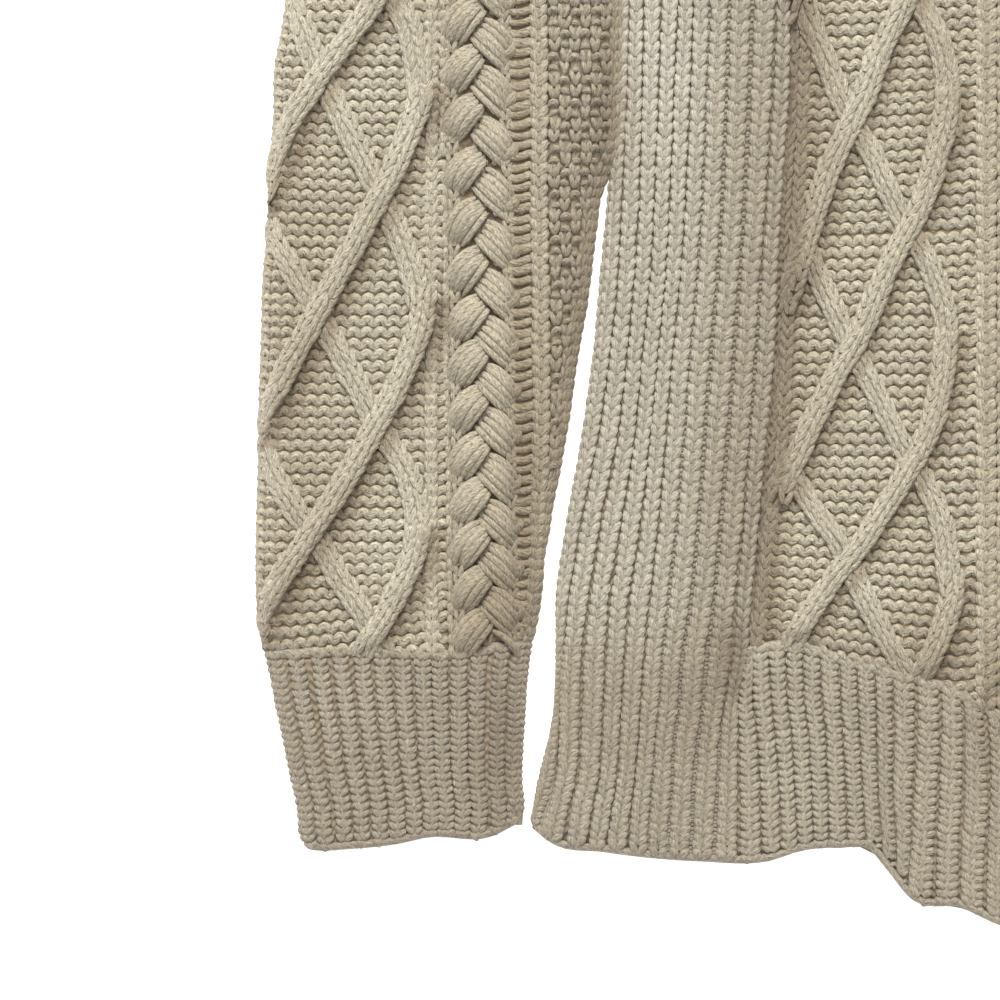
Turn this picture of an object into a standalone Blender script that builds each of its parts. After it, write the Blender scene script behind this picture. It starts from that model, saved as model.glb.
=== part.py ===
"""Cable knit sweater laid flat, face up, sleeves hanging beside the body.

Lengths in the tables are millimetres. X runs across the garment, with 0 on its
centre line; Y runs along it, from the hem (0) towards the neck; Z is up from
the surface it lies on. The whole garment is then moved so that the middle of
its underside is the origin.

Each knitted piece is a wall of one thickness. Its plan is a patch between four
edge curves; a panel is one sheet of it, a side panel is a sheet that turns
under round the side fold, a sleeve or a cuff is a flattened tube.
"""

import math

import bpy

MM = 0.001

# ---------------------------------------------------------------- main sizes
WALL = 3.0  # thickness of the knitted wall
LAYER_GAP = 1.5  # air between the back layer and the front layer
SEAM = 0.4  # distance kept between two pieces at a seam
BACK_Z = WALL / 2  # mid height of the back layer
FRONT_Z = WALL * 1.5 + LAYER_GAP  # mid height of the front layer
FOLD_Z = (BACK_Z + FRONT_Z) / 2  # mid height of a side fold
FOLD_R = (FRONT_Z - BACK_Z) / 2  # mid radius of a side fold
EDGE_R = FOLD_R + WALL / 2  # outside radius of a side fold
LIFT_MAX = 2.2  # highest rise of a fold over the flat front layer
DIP_MAX = 1.1  # deepest trough under it
SLEEVE_CROWN = 1.5  # rise of the middle of a sleeve

UNDERARM = (-228.0, 430.0)
SHOULDER_TIP = (-202.0, 640.0)
NECK_HALF = 96.0  # half width of the neckline
NECK_TOP = 668.0  # height of the shoulder's neck end
FRONT_NECK_DROP = 78.0
BACK_NECK_DROP = 8.0
BAND_HALF = 80.0  # half width of the neckband's free edge
BAND_TOP = 690.0  # height of its ends
BAND_FRONT_DROP = 74.0
BAND_BACK_DROP = 3.0
NECK_POWER = 2.6  # how square the front neckline is
ARM_SPLIT = 0.3  # share of the armhole that the side panel holds

# ------------------------------------------------------------- outline tables
# side fold of the body: height above the hem, distance from the centre line
BODY_SIDE = (
    # y, x
    (12.0, -265.2),
    (34.0, -260.8),
    (52.0, -256.5),
    (75.0, -255.0),
    (101.0, -254.8),
    (127.0, -251.2),
    (155.0, -246.3),
    (188.0, -241.5),
    (225.0, -238.0),
    (265.0, -234.2),
    (327.0, -231.2),
    (392.0, -229.3),
    (430.0, -228.0),
)
# line where the side rib meets the front: height, distance from centre
RIB_LINE = (
    # y, x
    (-0.8, -201.4),
    (22.8, -197.6),
    (41.8, -192.3),
    (60.8, -187.3),
    (79.4, -183.2),
    (114.0, -179.7),
    (137.0, -177.5),
    (175.0, -173.7),
    (213.0, -170.6),
    (251.0, -168.7),
    (327.0, -167.2),
    (365.0, -171.0),
    (410.0, -181.0),
    (450.0, -194.6),
    (484.2, -210.0),
)
# lower edge of the hem: distance from centre, height
HEM_EDGE = (
    # x, y
    (-265.2, 12.0),
    (-258.9, 6.8),
    (-237.6, 2.7),
    (-201.4, -0.8),
    (-174.4, -0.6),
    (-162.8, 3.2),
    (-148.0, 4.4),
    (-136.0, 3.2),
    (-127.9, -6.7),
    (-122.0, -14.1),
    (-101.8, -18.5),
    (-87.4, -25.1),
    (-50.0, -30.5),
    (0.0, -32.0),
)
# upper edge of the hem rib: distance from centre, height
HEM_TOP = (
    # x, y
    (-183.2, 79.4),
    (-171.0, 81.7),
    (-159.0, 80.0),
    (-144.0, 75.0),
    (-130.0, 71.4),
    (-108.0, 65.4),
    (-93.0, 57.4),
    (-50.0, 48.0),
    (0.0, 45.0),
)
# sleeve from the cuff to the armhole: the two ends of each ring in plan
SLEEVE = (
    # outer_x, outer_y, inner_x, inner_y
    (-365.2, 78.0, -266.0, 83.5),
    (-368.9, 112.0, -261.4, 113.0),
    (-369.0, 150.0, -256.0, 151.0),
    (-367.6, 190.0, -249.4, 190.0),
    (-365.7, 230.0, -243.2, 229.0),
    (-364.2, 262.0, -237.2, 262.0),
    (-361.8, 295.0, -233.6, 295.0),
    (-357.8, 327.0, -232.0, 327.0),
    (-350.0, 375.0, -231.1, 362.0),
    (-336.0, 430.0, -230.2, 392.0),
    (-313.0, 490.0, -229.4, 412.0),
    (-282.0, 548.0, -229.0, 422.0),
    (-243.0, 600.0, -228.7, 427.5),
    (-202.6, 640.4, -228.5, 430.4),
)
# cuff: the two ends of each ring in plan, from its lower edge up
CUFF = (
    # outer_x, outer_y, inner_x, inner_y
    (-351.5, 4.6, -269.6, 15.6),
    (-353.4, 14.0, -269.3, 24.0),
    (-355.5, 28.0, -269.6, 36.0),
    (-359.6, 47.0, -268.8, 53.0),
    (-362.6, 63.0, -267.6, 69.0),
    (-365.2, 78.0, -266.0, 83.5),
)
# waves of the cuff's lower edge and of its seam: share of the width, y offset
CUFF_EDGE_WAVE = (
    # share, dy
    (0.0, 0.0),
    (0.08, -3.0),
    (0.3, -3.4),
    (0.55, -2.2),
    (0.72, -4.6),
    (0.86, -4.4),
    (1.0, 0.0),
)
CUFF_SEAM_WAVE = (
    # share, dy
    (0.0, 0.0),
    (0.36, 0.4),
    (0.7, -3.4),
    (0.9, -1.0),
    (1.0, 0.0),
)
# folds of the front layer: soft troughs (negative lift) and ridges
FRONT_FOLDS = (
    # x_low, y_low, x_high, y_high, lift, half_width
    (-198.0, 12.0, -180.0, 105.0, -1.1, 7.0),
    (-180.0, 105.0, -165.5, 350.0, -1.1, 8.0),
    (-222.0, 40.0, -200.0, 330.0, 0.9, 15.0),
    (-158.0, 100.0, -147.0, 350.0, 1.0, 10.0),
    (-146.0, -2.0, -151.0, 62.0, 1.7, 9.0),
    (-130.5, -8.0, -127.5, 52.0, -1.1, 4.5),
    (-114.0, -14.0, -108.0, 55.0, 1.5, 9.0),
    (-92.0, 25.0, -92.5, 62.0, -1.0, 5.0),
    (-52.0, -24.0, -60.0, 50.0, 1.1, 14.0),
    (-185.0, 410.0, -112.0, 340.0, 1.2, 13.0),
    (-60.0, 190.0, 20.0, 212.0, 0.9, 17.0),
    (-30.0, 430.0, 70.0, 460.0, 0.8, 18.0),
    (195.0, 14.0, 179.0, 110.0, -1.0, 7.0),
    (179.0, 110.0, 166.0, 350.0, -1.1, 8.0),
    (221.0, 60.0, 202.0, 310.0, 0.8, 15.0),
    (156.0, 120.0, 148.0, 360.0, 0.9, 11.0),
    (150.0, -2.0, 144.0, 58.0, 1.3, 10.0),
    (126.0, -9.0, 130.0, 46.0, -1.0, 5.0),
    (108.0, -15.0, 102.0, 60.0, 1.2, 10.0),
    (48.0, -24.0, 40.0, 40.0, 0.9, 15.0),
    (188.0, 405.0, 105.0, 350.0, 1.0, 12.0),
    (60.0, 120.0, 120.0, 150.0, 0.7, 16.0),
)
# grid lines across the front, as shares of its half width
FRONT_LINES = (0.0, 0.03, 0.07, 0.12, 0.18, 0.26, 0.36, 0.45)
BACK_LINES = (0.0, 0.24, 0.42)
# places on the neckline that the panels and the band share, as shares of its half
NECK_FRONT = (1.0, 0.9, 0.77, 0.61, 0.42, 0.21, 0.0)
NECK_BACK = (1.0, 0.7, 0.35, 0.0)
RIB_LINES = (0.0, 0.17, 1 / 3, 0.5, 2 / 3, 0.8, 0.9, 1.0)
RIB_BACK_LINES = (0.0, 1 / 3, 2 / 3, 1.0)
# corners of the armhole seam, which every piece on it shares, as shares of it
ARM_CORNERS = (0.0, 0.1, 0.2, ARM_SPLIT, 0.45, 0.6, 0.75, 0.88, 1.0)
SLEEVE_LINES = tuple(1 - t for t in reversed(ARM_CORNERS))
# heights of the rows that the pieces along the side rib share
HEM_ROWS = (-0.8, 22.8, 41.8, 60.8, 79.4)
SIDE_ROWS = (114.0, 160.0, 213.0, 270.0, 327.0, 365.0, 410.0, 450.0)
ARC_STEPS = 4

# ------------------------------------------------------------------ materials
YARN = (0.56, 0.49, 0.38)
RIB_YARN = (0.55, 0.48, 0.37)


def smooth_table(rows, at):
    """Value of a two-column table at one place, on a smooth curve through its rows."""
    if at <= rows[0][0]:
        return rows[0][1]
    if at >= rows[-1][0]:
        return rows[-1][1]
    i = 0
    while rows[i + 1][0] < at:
        i += 1

    def slope(k):
        if k in (0, len(rows) - 1):
            a, b = (0, 1) if k == 0 else (k - 1, k)
        else:
            a, b = k - 1, k + 1
        return (rows[b][1] - rows[a][1]) / (rows[b][0] - rows[a][0])

    span = rows[i + 1][0] - rows[i][0]
    t = (at - rows[i][0]) / span
    h00 = 2 * t**3 - 3 * t**2 + 1
    h10 = t**3 - 2 * t**2 + t
    h01 = -2 * t**3 + 3 * t**2
    h11 = t**3 - t**2
    return (
        h00 * rows[i][1]
        + h10 * span * slope(i)
        + h01 * rows[i + 1][1]
        + h11 * span * slope(i + 1)
    )


def mirrored(rows):
    """A table over one half of the garment, carried over the centre line."""
    other = [(-x, y) for x, y in reversed(rows) if x < 0]
    return tuple(rows) + tuple(other)


HEM_EDGE_ALL = mirrored(HEM_EDGE)
HEM_TOP_ALL = mirrored(HEM_TOP)


def lerp(a, b, t):
    return a + (b - a) * t


def smoothstep(t):
    t = min(1.0, max(0.0, t))
    return t * t * (3 - 2 * t)


def armhole_curve(t):
    """Point of the armhole, from the underarm (0) to the shoulder tip (1)."""
    pts = (UNDERARM, (-205.0, 480.0), (-190.0, 570.0), SHOULDER_TIP)
    w = ((1 - t) ** 3, 3 * t * (1 - t) ** 2, 3 * t * t * (1 - t), t**3)
    return (
        sum(k * p[0] for k, p in zip(w, pts)),
        sum(k * p[1] for k, p in zip(w, pts)),
    )


ARM = [armhole_curve(t) for t in ARM_CORNERS]
SPLIT = armhole_curve(ARM_SPLIT)


def armhole(t, out=0.0):
    """The armhole seam itself: straight between its shared corners."""
    i = 0
    while i < len(ARM_CORNERS) - 2 and ARM_CORNERS[i + 1] < t:
        i += 1
    f = (t - ARM_CORNERS[i]) / (ARM_CORNERS[i + 1] - ARM_CORNERS[i])
    return lerp(ARM[i][0], ARM[i + 1][0], f) - out, lerp(ARM[i][1], ARM[i + 1][1], f)


def front_edge(y):
    """Left edge of the front and back panels: the rib line, then the armhole."""
    if y <= SPLIT[1]:
        return smooth_table(RIB_LINE, y)
    i = 0
    while i < len(ARM) - 2 and ARM[i + 1][1] < y:
        i += 1
    return lerp(ARM[i][0], ARM[i + 1][0], (y - ARM[i][1]) / (ARM[i + 1][1] - ARM[i][1]))


def row_shares(low, high, heights):
    """Rows at some heights, as shares of the way from the lowest to the highest."""
    inside = [(y - low) / (high - low) for y in heights if low + 1 < y < high - 1]
    return [0.0] + inside + [1.0]


def patch(bottom, top, left, right):
    """Point of the plan patch between four edge curves."""

    def at(u, v):
        b, t, le, r = bottom(u), top(u), left(v), right(v)
        c00, c10, c01, c11 = bottom(0), bottom(1), top(0), top(1)
        return tuple(
            (1 - v) * b[k]
            + v * t[k]
            + (1 - u) * le[k]
            + u * r[k]
            - (1 - u) * (1 - v) * c00[k]
            - u * (1 - v) * c10[k]
            - (1 - u) * v * c01[k]
            - u * v * c11[k]
            for k in (0, 1)
        )

    return at


def fold_lift(x, y):
    """Rise of the front layer at one place: every ridge and trough together."""
    total = 0.0
    for x0, y0, x1, y1, lift, half in FRONT_FOLDS:
        dx, dy = x1 - x0, y1 - y0
        length = math.hypot(dx, dy)
        along = ((x - x0) * dx + (y - y0) * dy) / length
        side = ((x - x0) * dy - (y - y0) * dx) / length
        end = 0.0
        if along < 0:
            end = -along
        elif along > length:
            end = along - length
        total += lift * math.exp(-((side / half) ** 2) - (end / (1.6 * half)) ** 2)
    return min(LIFT_MAX, max(-DIP_MAX, total))


def shoulder_drop(x, y):
    """Where the front layer comes down onto the back layer, at the shoulder seam."""
    ax, ay = SHOULDER_TIP
    bx, by = -NECK_HALF, NECK_TOP
    dx, dy = bx - ax, by - ay
    length = math.hypot(dx, dy)
    off = ((-abs(x) - ax) * dy - (y - ay) * dx) / length
    return (LAYER_GAP - SEAM) * smoothstep(1 - off / 14.0)


def front_height(x, y):
    side = smooth_table(BODY_SIDE, y) + EDGE_R
    calm = smoothstep((abs(x) < -side) * (-side - abs(x)) / 16.0)
    return FRONT_Z + fold_lift(x, y) * calm - shoulder_drop(x, y)


# --------------------------------------------------------------- mesh helpers
ALL = []


def solid(name, outer, inner, closed):
    """One closed wall between two grids of points. Rows run along the piece."""
    verts, faces = [], []
    rows, cols = len(outer), len(outer[0])
    for grid in (outer, inner):
        for row in grid:
            verts.extend(row)
    shift = rows * cols

    def vid(j, i):
        return j * cols + i % cols

    spans = cols if closed else cols - 1
    for j in range(rows - 1):
        for i in range(spans):
            a, b, c, d = vid(j, i), vid(j, i + 1), vid(j + 1, i + 1), vid(j + 1, i)
            faces.append((a, b, c, d))
            faces.append((a + shift, d + shift, c + shift, b + shift))
    for i in range(spans):
        a, b = vid(0, i), vid(0, i + 1)
        faces.append((a, a + shift, b + shift, b))
        a, b = vid(rows - 1, i), vid(rows - 1, i + 1)
        faces.append((a, b, b + shift, a + shift))
    if not closed:
        for j in range(rows - 1):
            a, d = vid(j, 0), vid(j + 1, 0)
            faces.append((a, d, d + shift, a + shift))
            a, d = vid(j, cols - 1), vid(j + 1, cols - 1)
            faces.append((a, a + shift, d + shift, d))
    tris = []
    for a, b, c, d in faces:
        tris.append((a, b, c))
        tris.append((a, c, d))
    volume = 0.0
    for a, b, c in tris:
        pa, pb, pc = verts[a], verts[b], verts[c]
        volume += (
            pa[0] * (pb[1] * pc[2] - pb[2] * pc[1])
            - pa[1] * (pb[0] * pc[2] - pb[2] * pc[0])
            + pa[2] * (pb[0] * pc[1] - pb[1] * pc[0])
        )
    if volume < 0:
        tris = [(a, c, b) for a, b, c in tris]
    ALL.append((name, verts, tris))


def sheet(name, at, across, rows, height):
    outer, inner = [], []
    for v in rows:
        o, n = [], []
        for u in across:
            x, y = at(u, v)
            z = height(x, y)
            o.append((x, y, z + WALL / 2))
            n.append((x, y, z - WALL / 2))
        outer.append(o)
        inner.append(n)
    solid(name, outer, inner, False)


def turn(at, v, end, steps, radius):
    """Points round a side fold at one end of a ring, from the top layer to the bottom one."""
    u, toward = (0.0, 0.02) if end == 0 else (1.0, 0.98)
    cx, cy = at(u, v)
    px, py = at(toward, v)
    d = math.hypot(cx - px, cy - py)
    ox, oy = (cx - px) / d, (cy - py) / d
    out = []
    for k in range(1, steps):
        a = math.pi * k / steps
        out.append(
            (
                cx + ox * radius * math.sin(a),
                cy + oy * radius * math.sin(a),
                FOLD_Z + radius * math.cos(a),
            )
        )
    return out


def ring(at, v, across, back, height, wrap_right):
    """One ring: the front layer, the fold, the back layer and the other fold."""
    outer, inner = [], []
    top = []
    for u in reversed(across):
        x, y = at(u, v)
        top.append((x, y, height(u, v, x, y)))
    outer += [(x, y, z + WALL / 2) for x, y, z in top]
    inner += [(x, y, z - WALL / 2) for x, y, z in top]
    outer += turn(at, v, 0, ARC_STEPS, FOLD_R + WALL / 2)
    inner += turn(at, v, 0, ARC_STEPS, FOLD_R - WALL / 2)
    for u in back:
        x, y = at(u, v)
        outer.append((x, y, 0.0))
        inner.append((x, y, WALL))
    if wrap_right:
        outer += list(reversed(turn(at, v, 1, ARC_STEPS, FOLD_R + WALL / 2)))
        inner += list(reversed(turn(at, v, 1, ARC_STEPS, FOLD_R - WALL / 2)))
    return outer, inner


def wrapped(name, at, across, back, rows, height, wrap_right):
    outer, inner = [], []
    for v in rows:
        o, n = ring(at, v, across, back, height, wrap_right)
        outer.append(o)
        inner.append(n)
    solid(name, outer, inner, wrap_right)


def other_side(name, new_name):
    """The same piece on the other side of the centre line."""
    for known, verts, tris in list(ALL):
        if known == name:
            ALL.append(
                (
                    new_name,
                    [(-x, y, z) for x, y, z in verts],
                    [(a, c, b) for a, b, c in tris],
                )
            )


# --------------------------------------------------------------- the panels
def rib_edge(y, move):
    return front_edge(y) + move


def panel_lines(plain, neck):
    """Grid lines across a panel: shares of its half width, then the neckline's places."""
    half = [0.5 * u for u in plain]
    half += [0.5 - 0.5 * n * NECK_HALF / -SHOULDER_TIP[0] for n in neck if n > 0]
    return half + [0.5] + [1 - u for u in reversed(half)]


def both_ways(neck):
    """The neckline's places from one end of it to the other."""
    return list(neck) + [-n for n in reversed(neck) if n > 0]


FRONT_ACROSS = panel_lines(FRONT_LINES, NECK_FRONT)
BACK_ACROSS = panel_lines(BACK_LINES, NECK_BACK)


def with_lines(plain, needed):
    """Grid lines that hold another piece's lines, with no near doubles."""
    kept = [u for u in plain if min(abs(u - n) for n in needed) > 0.009]
    return sorted(kept + list(needed))


def hem_seam(x, across):
    """Height of the seam over the hem rib, straight between a panel's grid lines."""
    reach = smooth_table(RIB_LINE, HEM_TOP[0][1]) + SEAM / 2
    share = (x - reach) / (-2 * reach)
    if share <= 0 or share >= 1:
        return smooth_table(HEM_TOP_ALL, x)
    i = 0
    while across[i + 1] < share:
        i += 1
    t = (share - across[i]) / (across[i + 1] - across[i])
    ends = [smooth_table(HEM_TOP_ALL, lerp(reach, -reach, u)) for u in across[i : i + 2]]
    return lerp(ends[0], ends[1], t)


def make_front():
    low, high = HEM_TOP[0][1], SHOULDER_TIP[1]
    half = SEAM / 2

    def bottom(u):
        x0 = rib_edge(low, half)
        x = lerp(x0, -x0, u)
        return x, smooth_table(HEM_TOP_ALL, x) + half

    def neck(u, drop, power):
        span = -SHOULDER_TIP[0]
        x = lerp(-span, span, u)
        if abs(x) >= NECK_HALF:
            y = lerp(NECK_TOP, SHOULDER_TIP[1], (abs(x) - NECK_HALF) / (span - NECK_HALF))
        else:
            y = NECK_TOP - drop * (1 - abs(x / NECK_HALF) ** power)
        return x, y

    def left(v):
        y = lerp(bottom(0)[1], high, v)
        move = half if y < SPLIT[1] else half * smoothstep((high - y) / 20.0)
        return rib_edge(y, move), y

    def right(v):
        x, y = left(v)
        return -x, y

    def front_top(u):
        return neck(u, FRONT_NECK_DROP, NECK_POWER)

    def back_top(u):
        return neck(u, BACK_NECK_DROP, 2.0)

    heights = SIDE_ROWS + tuple(y for _, y in ARM if y > SPLIT[1] - 1)
    rows = row_shares(bottom(0)[1], high, heights)
    sheet(
        "front_panel",
        patch(bottom, front_top, left, right),
        FRONT_ACROSS,
        rows,
        front_height,
    )
    sheet(
        "back_panel",
        patch(bottom, back_top, left, right),
        BACK_ACROSS,
        rows,
        lambda x, y: BACK_Z,
    )


def make_hem():
    half = SEAM / 2

    def edges(v, low, high):
        y = lerp(low, high, v)
        return smooth_table(RIB_LINE, y) + half, y

    low = RIB_LINE[0][0]
    high = HEM_TOP[0][1] - half

    def left(v):
        return edges(v, low, high)

    def right(v):
        x, y = left(v)
        return -x, y

    def bottom(u):
        x0 = left(0)[0]
        x = lerp(x0, -x0, u)
        return x, smooth_table(HEM_EDGE_ALL, x) + (left(0)[1] - smooth_table(HEM_EDGE_ALL, x0))

    def top_edge(across):
        def top(u):
            x0 = left(1)[0]
            x = lerp(x0, -x0, u)
            return x, hem_seam(x, across) - half

        return top

    fine = with_lines([k / 36 for k in range(37)], FRONT_ACROSS)
    coarse = with_lines([k / 16 for k in range(17)], BACK_ACROSS)
    front = patch(bottom, top_edge(FRONT_ACROSS), left, right)
    back = patch(bottom, top_edge(BACK_ACROSS), left, right)
    rows = row_shares(low, high, HEM_ROWS)
    sheet("hem_front", front, fine, rows, front_height)
    sheet("hem_back", back, coarse, rows, lambda x, y: BACK_Z)


def make_side():
    half = SEAM / 2
    low_left, high_left = BODY_SIDE[0][0], UNDERARM[1]

    def left(v):
        y = lerp(low_left, high_left, v)
        return smooth_table(BODY_SIDE, y) + EDGE_R, y

    def right(v):
        y = lerp(RIB_LINE[0][0], SPLIT[1], v)
        return front_edge(y) - half, y

    def bottom(u):
        x = lerp(left(0)[0], right(0)[0], u)
        bend = smooth_table(HEM_EDGE, x)
        start = smooth_table(HEM_EDGE, left(0)[0])
        end = smooth_table(HEM_EDGE, right(0)[0])
        return x, bend + lerp(left(0)[1] - start, right(0)[1] - end, u)

    def top(u):
        x, y = armhole(ARM_SPLIT * u)
        sx, sy = armhole(0)
        ex, ey = armhole(ARM_SPLIT)
        return (
            x + lerp(left(1)[0] - sx, right(1)[0] - ex, u),
            y + lerp(left(1)[1] - sy, right(1)[1] - ey, u),
        )

    at = patch(bottom, top, left, right)

    def height(u, v, x, y):
        return front_height(x, y) if u > 0 else FRONT_Z

    rows = row_shares(RIB_LINE[0][0], SPLIT[1], HEM_ROWS + SIDE_ROWS)
    wrapped("side_panel_left", at, RIB_LINES, RIB_BACK_LINES, rows, height, False)
    other_side("side_panel_left", "side_panel_right")


def tube_patch(stations, top, bottom):
    """Plan patch of a flattened tube; its side folds end on the stations' points."""

    def side(v, end):
        n = len(stations) - 1
        outer_x = smooth_table([(k / n, s[0]) for k, s in enumerate(stations)], v)
        outer_y = smooth_table([(k / n, s[1]) for k, s in enumerate(stations)], v)
        inner_x = smooth_table([(k / n, s[2]) for k, s in enumerate(stations)], v)
        inner_y = smooth_table([(k / n, s[3]) for k, s in enumerate(stations)], v)
        w = math.hypot(inner_x - outer_x, inner_y - outer_y)
        dx, dy = (inner_x - outer_x) / w * EDGE_R, (inner_y - outer_y) / w * EDGE_R
        if end == 0:
            return outer_x + dx, outer_y + dy
        return inner_x - dx, inner_y - dy

    def left(v):
        return side(v, 0)

    def right(v):
        return side(v, 1)

    def fitted(shape, v):
        def edge(u):
            x, y = shape(u)
            sx, sy = shape(0)
            ex, ey = shape(1)
            lx, ly = left(v)
            rx, ry = right(v)
            return x + lerp(lx - sx, rx - ex, u), y + lerp(ly - sy, ry - ey, u)

        return edge

    return patch(fitted(bottom, 0), fitted(top, 1), left, right)


def make_sleeve():
    half = SEAM / 2
    o_x, o_y, i_x, i_y = SLEEVE[0]

    def seam(u):
        return lerp(o_x, i_x, u), lerp(o_y, i_y, u) + smooth_table(CUFF_SEAM_WAVE, u)

    def lower_edge(u):
        o2x, o2y, i2x, i2y = CUFF[0]
        return lerp(o2x, i2x, u), lerp(o2y, i2y, u) + smooth_table(CUFF_EDGE_WAVE, u)

    def cap(u):
        return armhole(1 - u, SEAM)

    body = tuple(
        (a, b + half * (k == 0), c, d + half * (k == 0))
        for k, (a, b, c, d) in enumerate(SLEEVE)
    )
    wrist = tuple(
        (a, b - half * (k == len(CUFF) - 1), c, d - half * (k == len(CUFF) - 1))
        for k, (a, b, c, d) in enumerate(CUFF)
    )

    def crown(u, v, x, y):
        calm = smoothstep((1 - v) / 0.3)
        return FRONT_Z + SLEEVE_CROWN * (1 - (2 * u - 1) ** 4) * calm

    def wrist_crown(u, v, x, y):
        return FRONT_Z + SLEEVE_CROWN * (1 - (2 * u - 1) ** 4) * lerp(0.6, 1.0, v)

    wrapped(
        "sleeve_left",
        tube_patch(body, cap, seam),
        SLEEVE_LINES,
        SLEEVE_LINES,
        [k / 14 for k in range(15)],
        crown,
        True,
    )
    wrapped(
        "cuff_left",
        tube_patch(wrist, seam, lower_edge),
        SLEEVE_LINES,
        SLEEVE_LINES,
        [k / 3 for k in range(4)],
        wrist_crown,
        True,
    )
    other_side("sleeve_left", "sleeve_right")
    other_side("cuff_left", "cuff_right")


def make_neckband():
    """A ring folded at its two ends: the front half lies higher than the back half."""
    def edge(s, drop, free):
        if free:
            return BAND_HALF * s, BAND_TOP - drop * (1 - abs(s) ** NECK_POWER)
        reach = NECK_HALF - SEAM
        return reach * s, NECK_TOP + SEAM - drop * (1 - abs(s) ** NECK_POWER)

    sections = []  # attached point, free point, outward direction, layer angle
    for s in both_ways(NECK_FRONT):
        sections.append(
            (edge(s, FRONT_NECK_DROP, False), edge(s, BAND_FRONT_DROP, True), s, 0.0)
        )
    for k in range(1, ARC_STEPS):
        sections.append((edge(-1, 0, False), edge(-1, 0, True), -1.0, math.pi * k / ARC_STEPS))
    for s in reversed(both_ways(NECK_BACK)):
        power = 2.0
        a = ((NECK_HALF - SEAM) * s, NECK_TOP + SEAM - BACK_NECK_DROP * (1 - abs(s) ** power))
        f = (BAND_HALF * s, BAND_TOP - BAND_BACK_DROP * (1 - abs(s) ** power))
        sections.append((a, f, s, math.pi))
    for k in range(1, ARC_STEPS):
        sections.append(
            (edge(1, 0, False), edge(1, 0, True), 1.0, math.pi * (1 - k / ARC_STEPS))
        )
    fold_dx, fold_dy = NECK_HALF - BAND_HALF, BAND_TOP - NECK_TOP
    fold_len = math.hypot(fold_dx, fold_dy)
    out_x, out_y = fold_dy / fold_len, fold_dx / fold_len

    outer_rows, inner_rows = [], []
    for row in range(3):
        f = row / 2
        outer, inner = [], []
        for low, high, s, angle in sections:
            x, y = lerp(low[0], high[0], f), lerp(low[1], high[1], f)
            for grid, radius in ((outer, EDGE_R), (inner, EDGE_R - WALL)):
                sign = 1 if s > 0 else -1
                grid.append(
                    (
                        x + sign * out_x * radius * math.sin(angle),
                        y + out_y * radius * math.sin(angle),
                        FOLD_Z + radius * math.cos(angle),
                    )
                )
        outer_rows.append(outer)
        inner_rows.append(inner)
    solid("neckband", outer_rows, inner_rows, True)


# ------------------------------------------------------------------ the scene
def material(name, colour, roughness):
    mat = bpy.data.materials.new(name)
    mat.use_nodes = True
    shader = mat.node_tree.nodes.get("Principled BSDF")
    shader.inputs["Base Color"].default_value = (*colour, 1.0)
    shader.inputs["Roughness"].default_value = roughness
    shader.inputs["Metallic"].default_value = 0.0
    mat.diffuse_color = (*colour, 1.0)
    return mat


def main():
    for thing in list(bpy.data.objects):
        bpy.data.objects.remove(thing, do_unlink=True)
    make_front()
    make_hem()
    make_side()
    make_sleeve()
    make_neckband()
    ys = [p[1] for _, verts, _ in ALL for p in verts]
    middle = (min(ys) + max(ys)) / 2
    for name, verts, tris in ALL:
        mesh = bpy.data.meshes.new(name)
        mesh.from_pydata(
            [(x * MM, (y - middle) * MM, z * MM) for x, y, z in verts], [], tris
        )
        mesh.update()
        thing = bpy.data.objects.new(name, mesh)
        bpy.context.scene.collection.objects.link(thing)
        rib = name.startswith(("hem", "side", "cuff", "neck"))
        mesh.materials.append(
            material(name + "_yarn", RIB_YARN if rib else YARN, 0.9)
        )
    print("middle of the length, mm:", round(middle, 3))


main()
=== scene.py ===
import math

import bpy
import numpy as np
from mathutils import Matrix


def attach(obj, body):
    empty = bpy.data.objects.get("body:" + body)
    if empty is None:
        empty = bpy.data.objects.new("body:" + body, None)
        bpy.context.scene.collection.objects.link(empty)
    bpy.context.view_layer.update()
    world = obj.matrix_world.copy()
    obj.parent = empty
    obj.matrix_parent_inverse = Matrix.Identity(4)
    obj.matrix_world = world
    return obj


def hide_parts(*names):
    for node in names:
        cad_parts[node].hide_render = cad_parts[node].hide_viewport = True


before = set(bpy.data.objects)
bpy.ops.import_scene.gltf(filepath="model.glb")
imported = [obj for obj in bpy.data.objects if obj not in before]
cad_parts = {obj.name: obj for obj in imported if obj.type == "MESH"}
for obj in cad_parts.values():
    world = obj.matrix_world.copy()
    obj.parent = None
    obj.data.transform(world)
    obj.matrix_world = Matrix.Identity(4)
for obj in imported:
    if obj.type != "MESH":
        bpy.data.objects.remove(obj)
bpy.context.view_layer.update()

# Cable knit sweater laid flat, face up. Plan lengths in the charts are in
# stitch-chart units of 0.38 mm: x to the right, y down, the garment's centre
# line at x = 1230 and its lower edge near y = 860. Heights are millimetres.

MM = 0.001
CELL = 0.38
CX, CY = 1230.0, 860.0
MIDDLE = 330.108  # the middle of the garment's length, mm above its lower edge
SEED = np.random.default_rng(41)

# ------------------------------------------------------------ form of the cloth
WALL = 3.0
BACK_Z = 1.5
FRONT_TOP = 7.1
FOLD_Z = 3.75
UNDERARM = (-228.0, 430.0)
SHOULDER_TIP = (-202.0, 640.0)
NECK_HALF, NECK_TOP, NECK_DROP, NECK_POWER = 96.0, 668.0, 78.0, 2.6
BAND_HALF, BAND_TOP, BAND_DROP, BAND_BACK = 80.0, 690.0, 74.0, 3.0
ARM_SPLIT = 0.3

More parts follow.
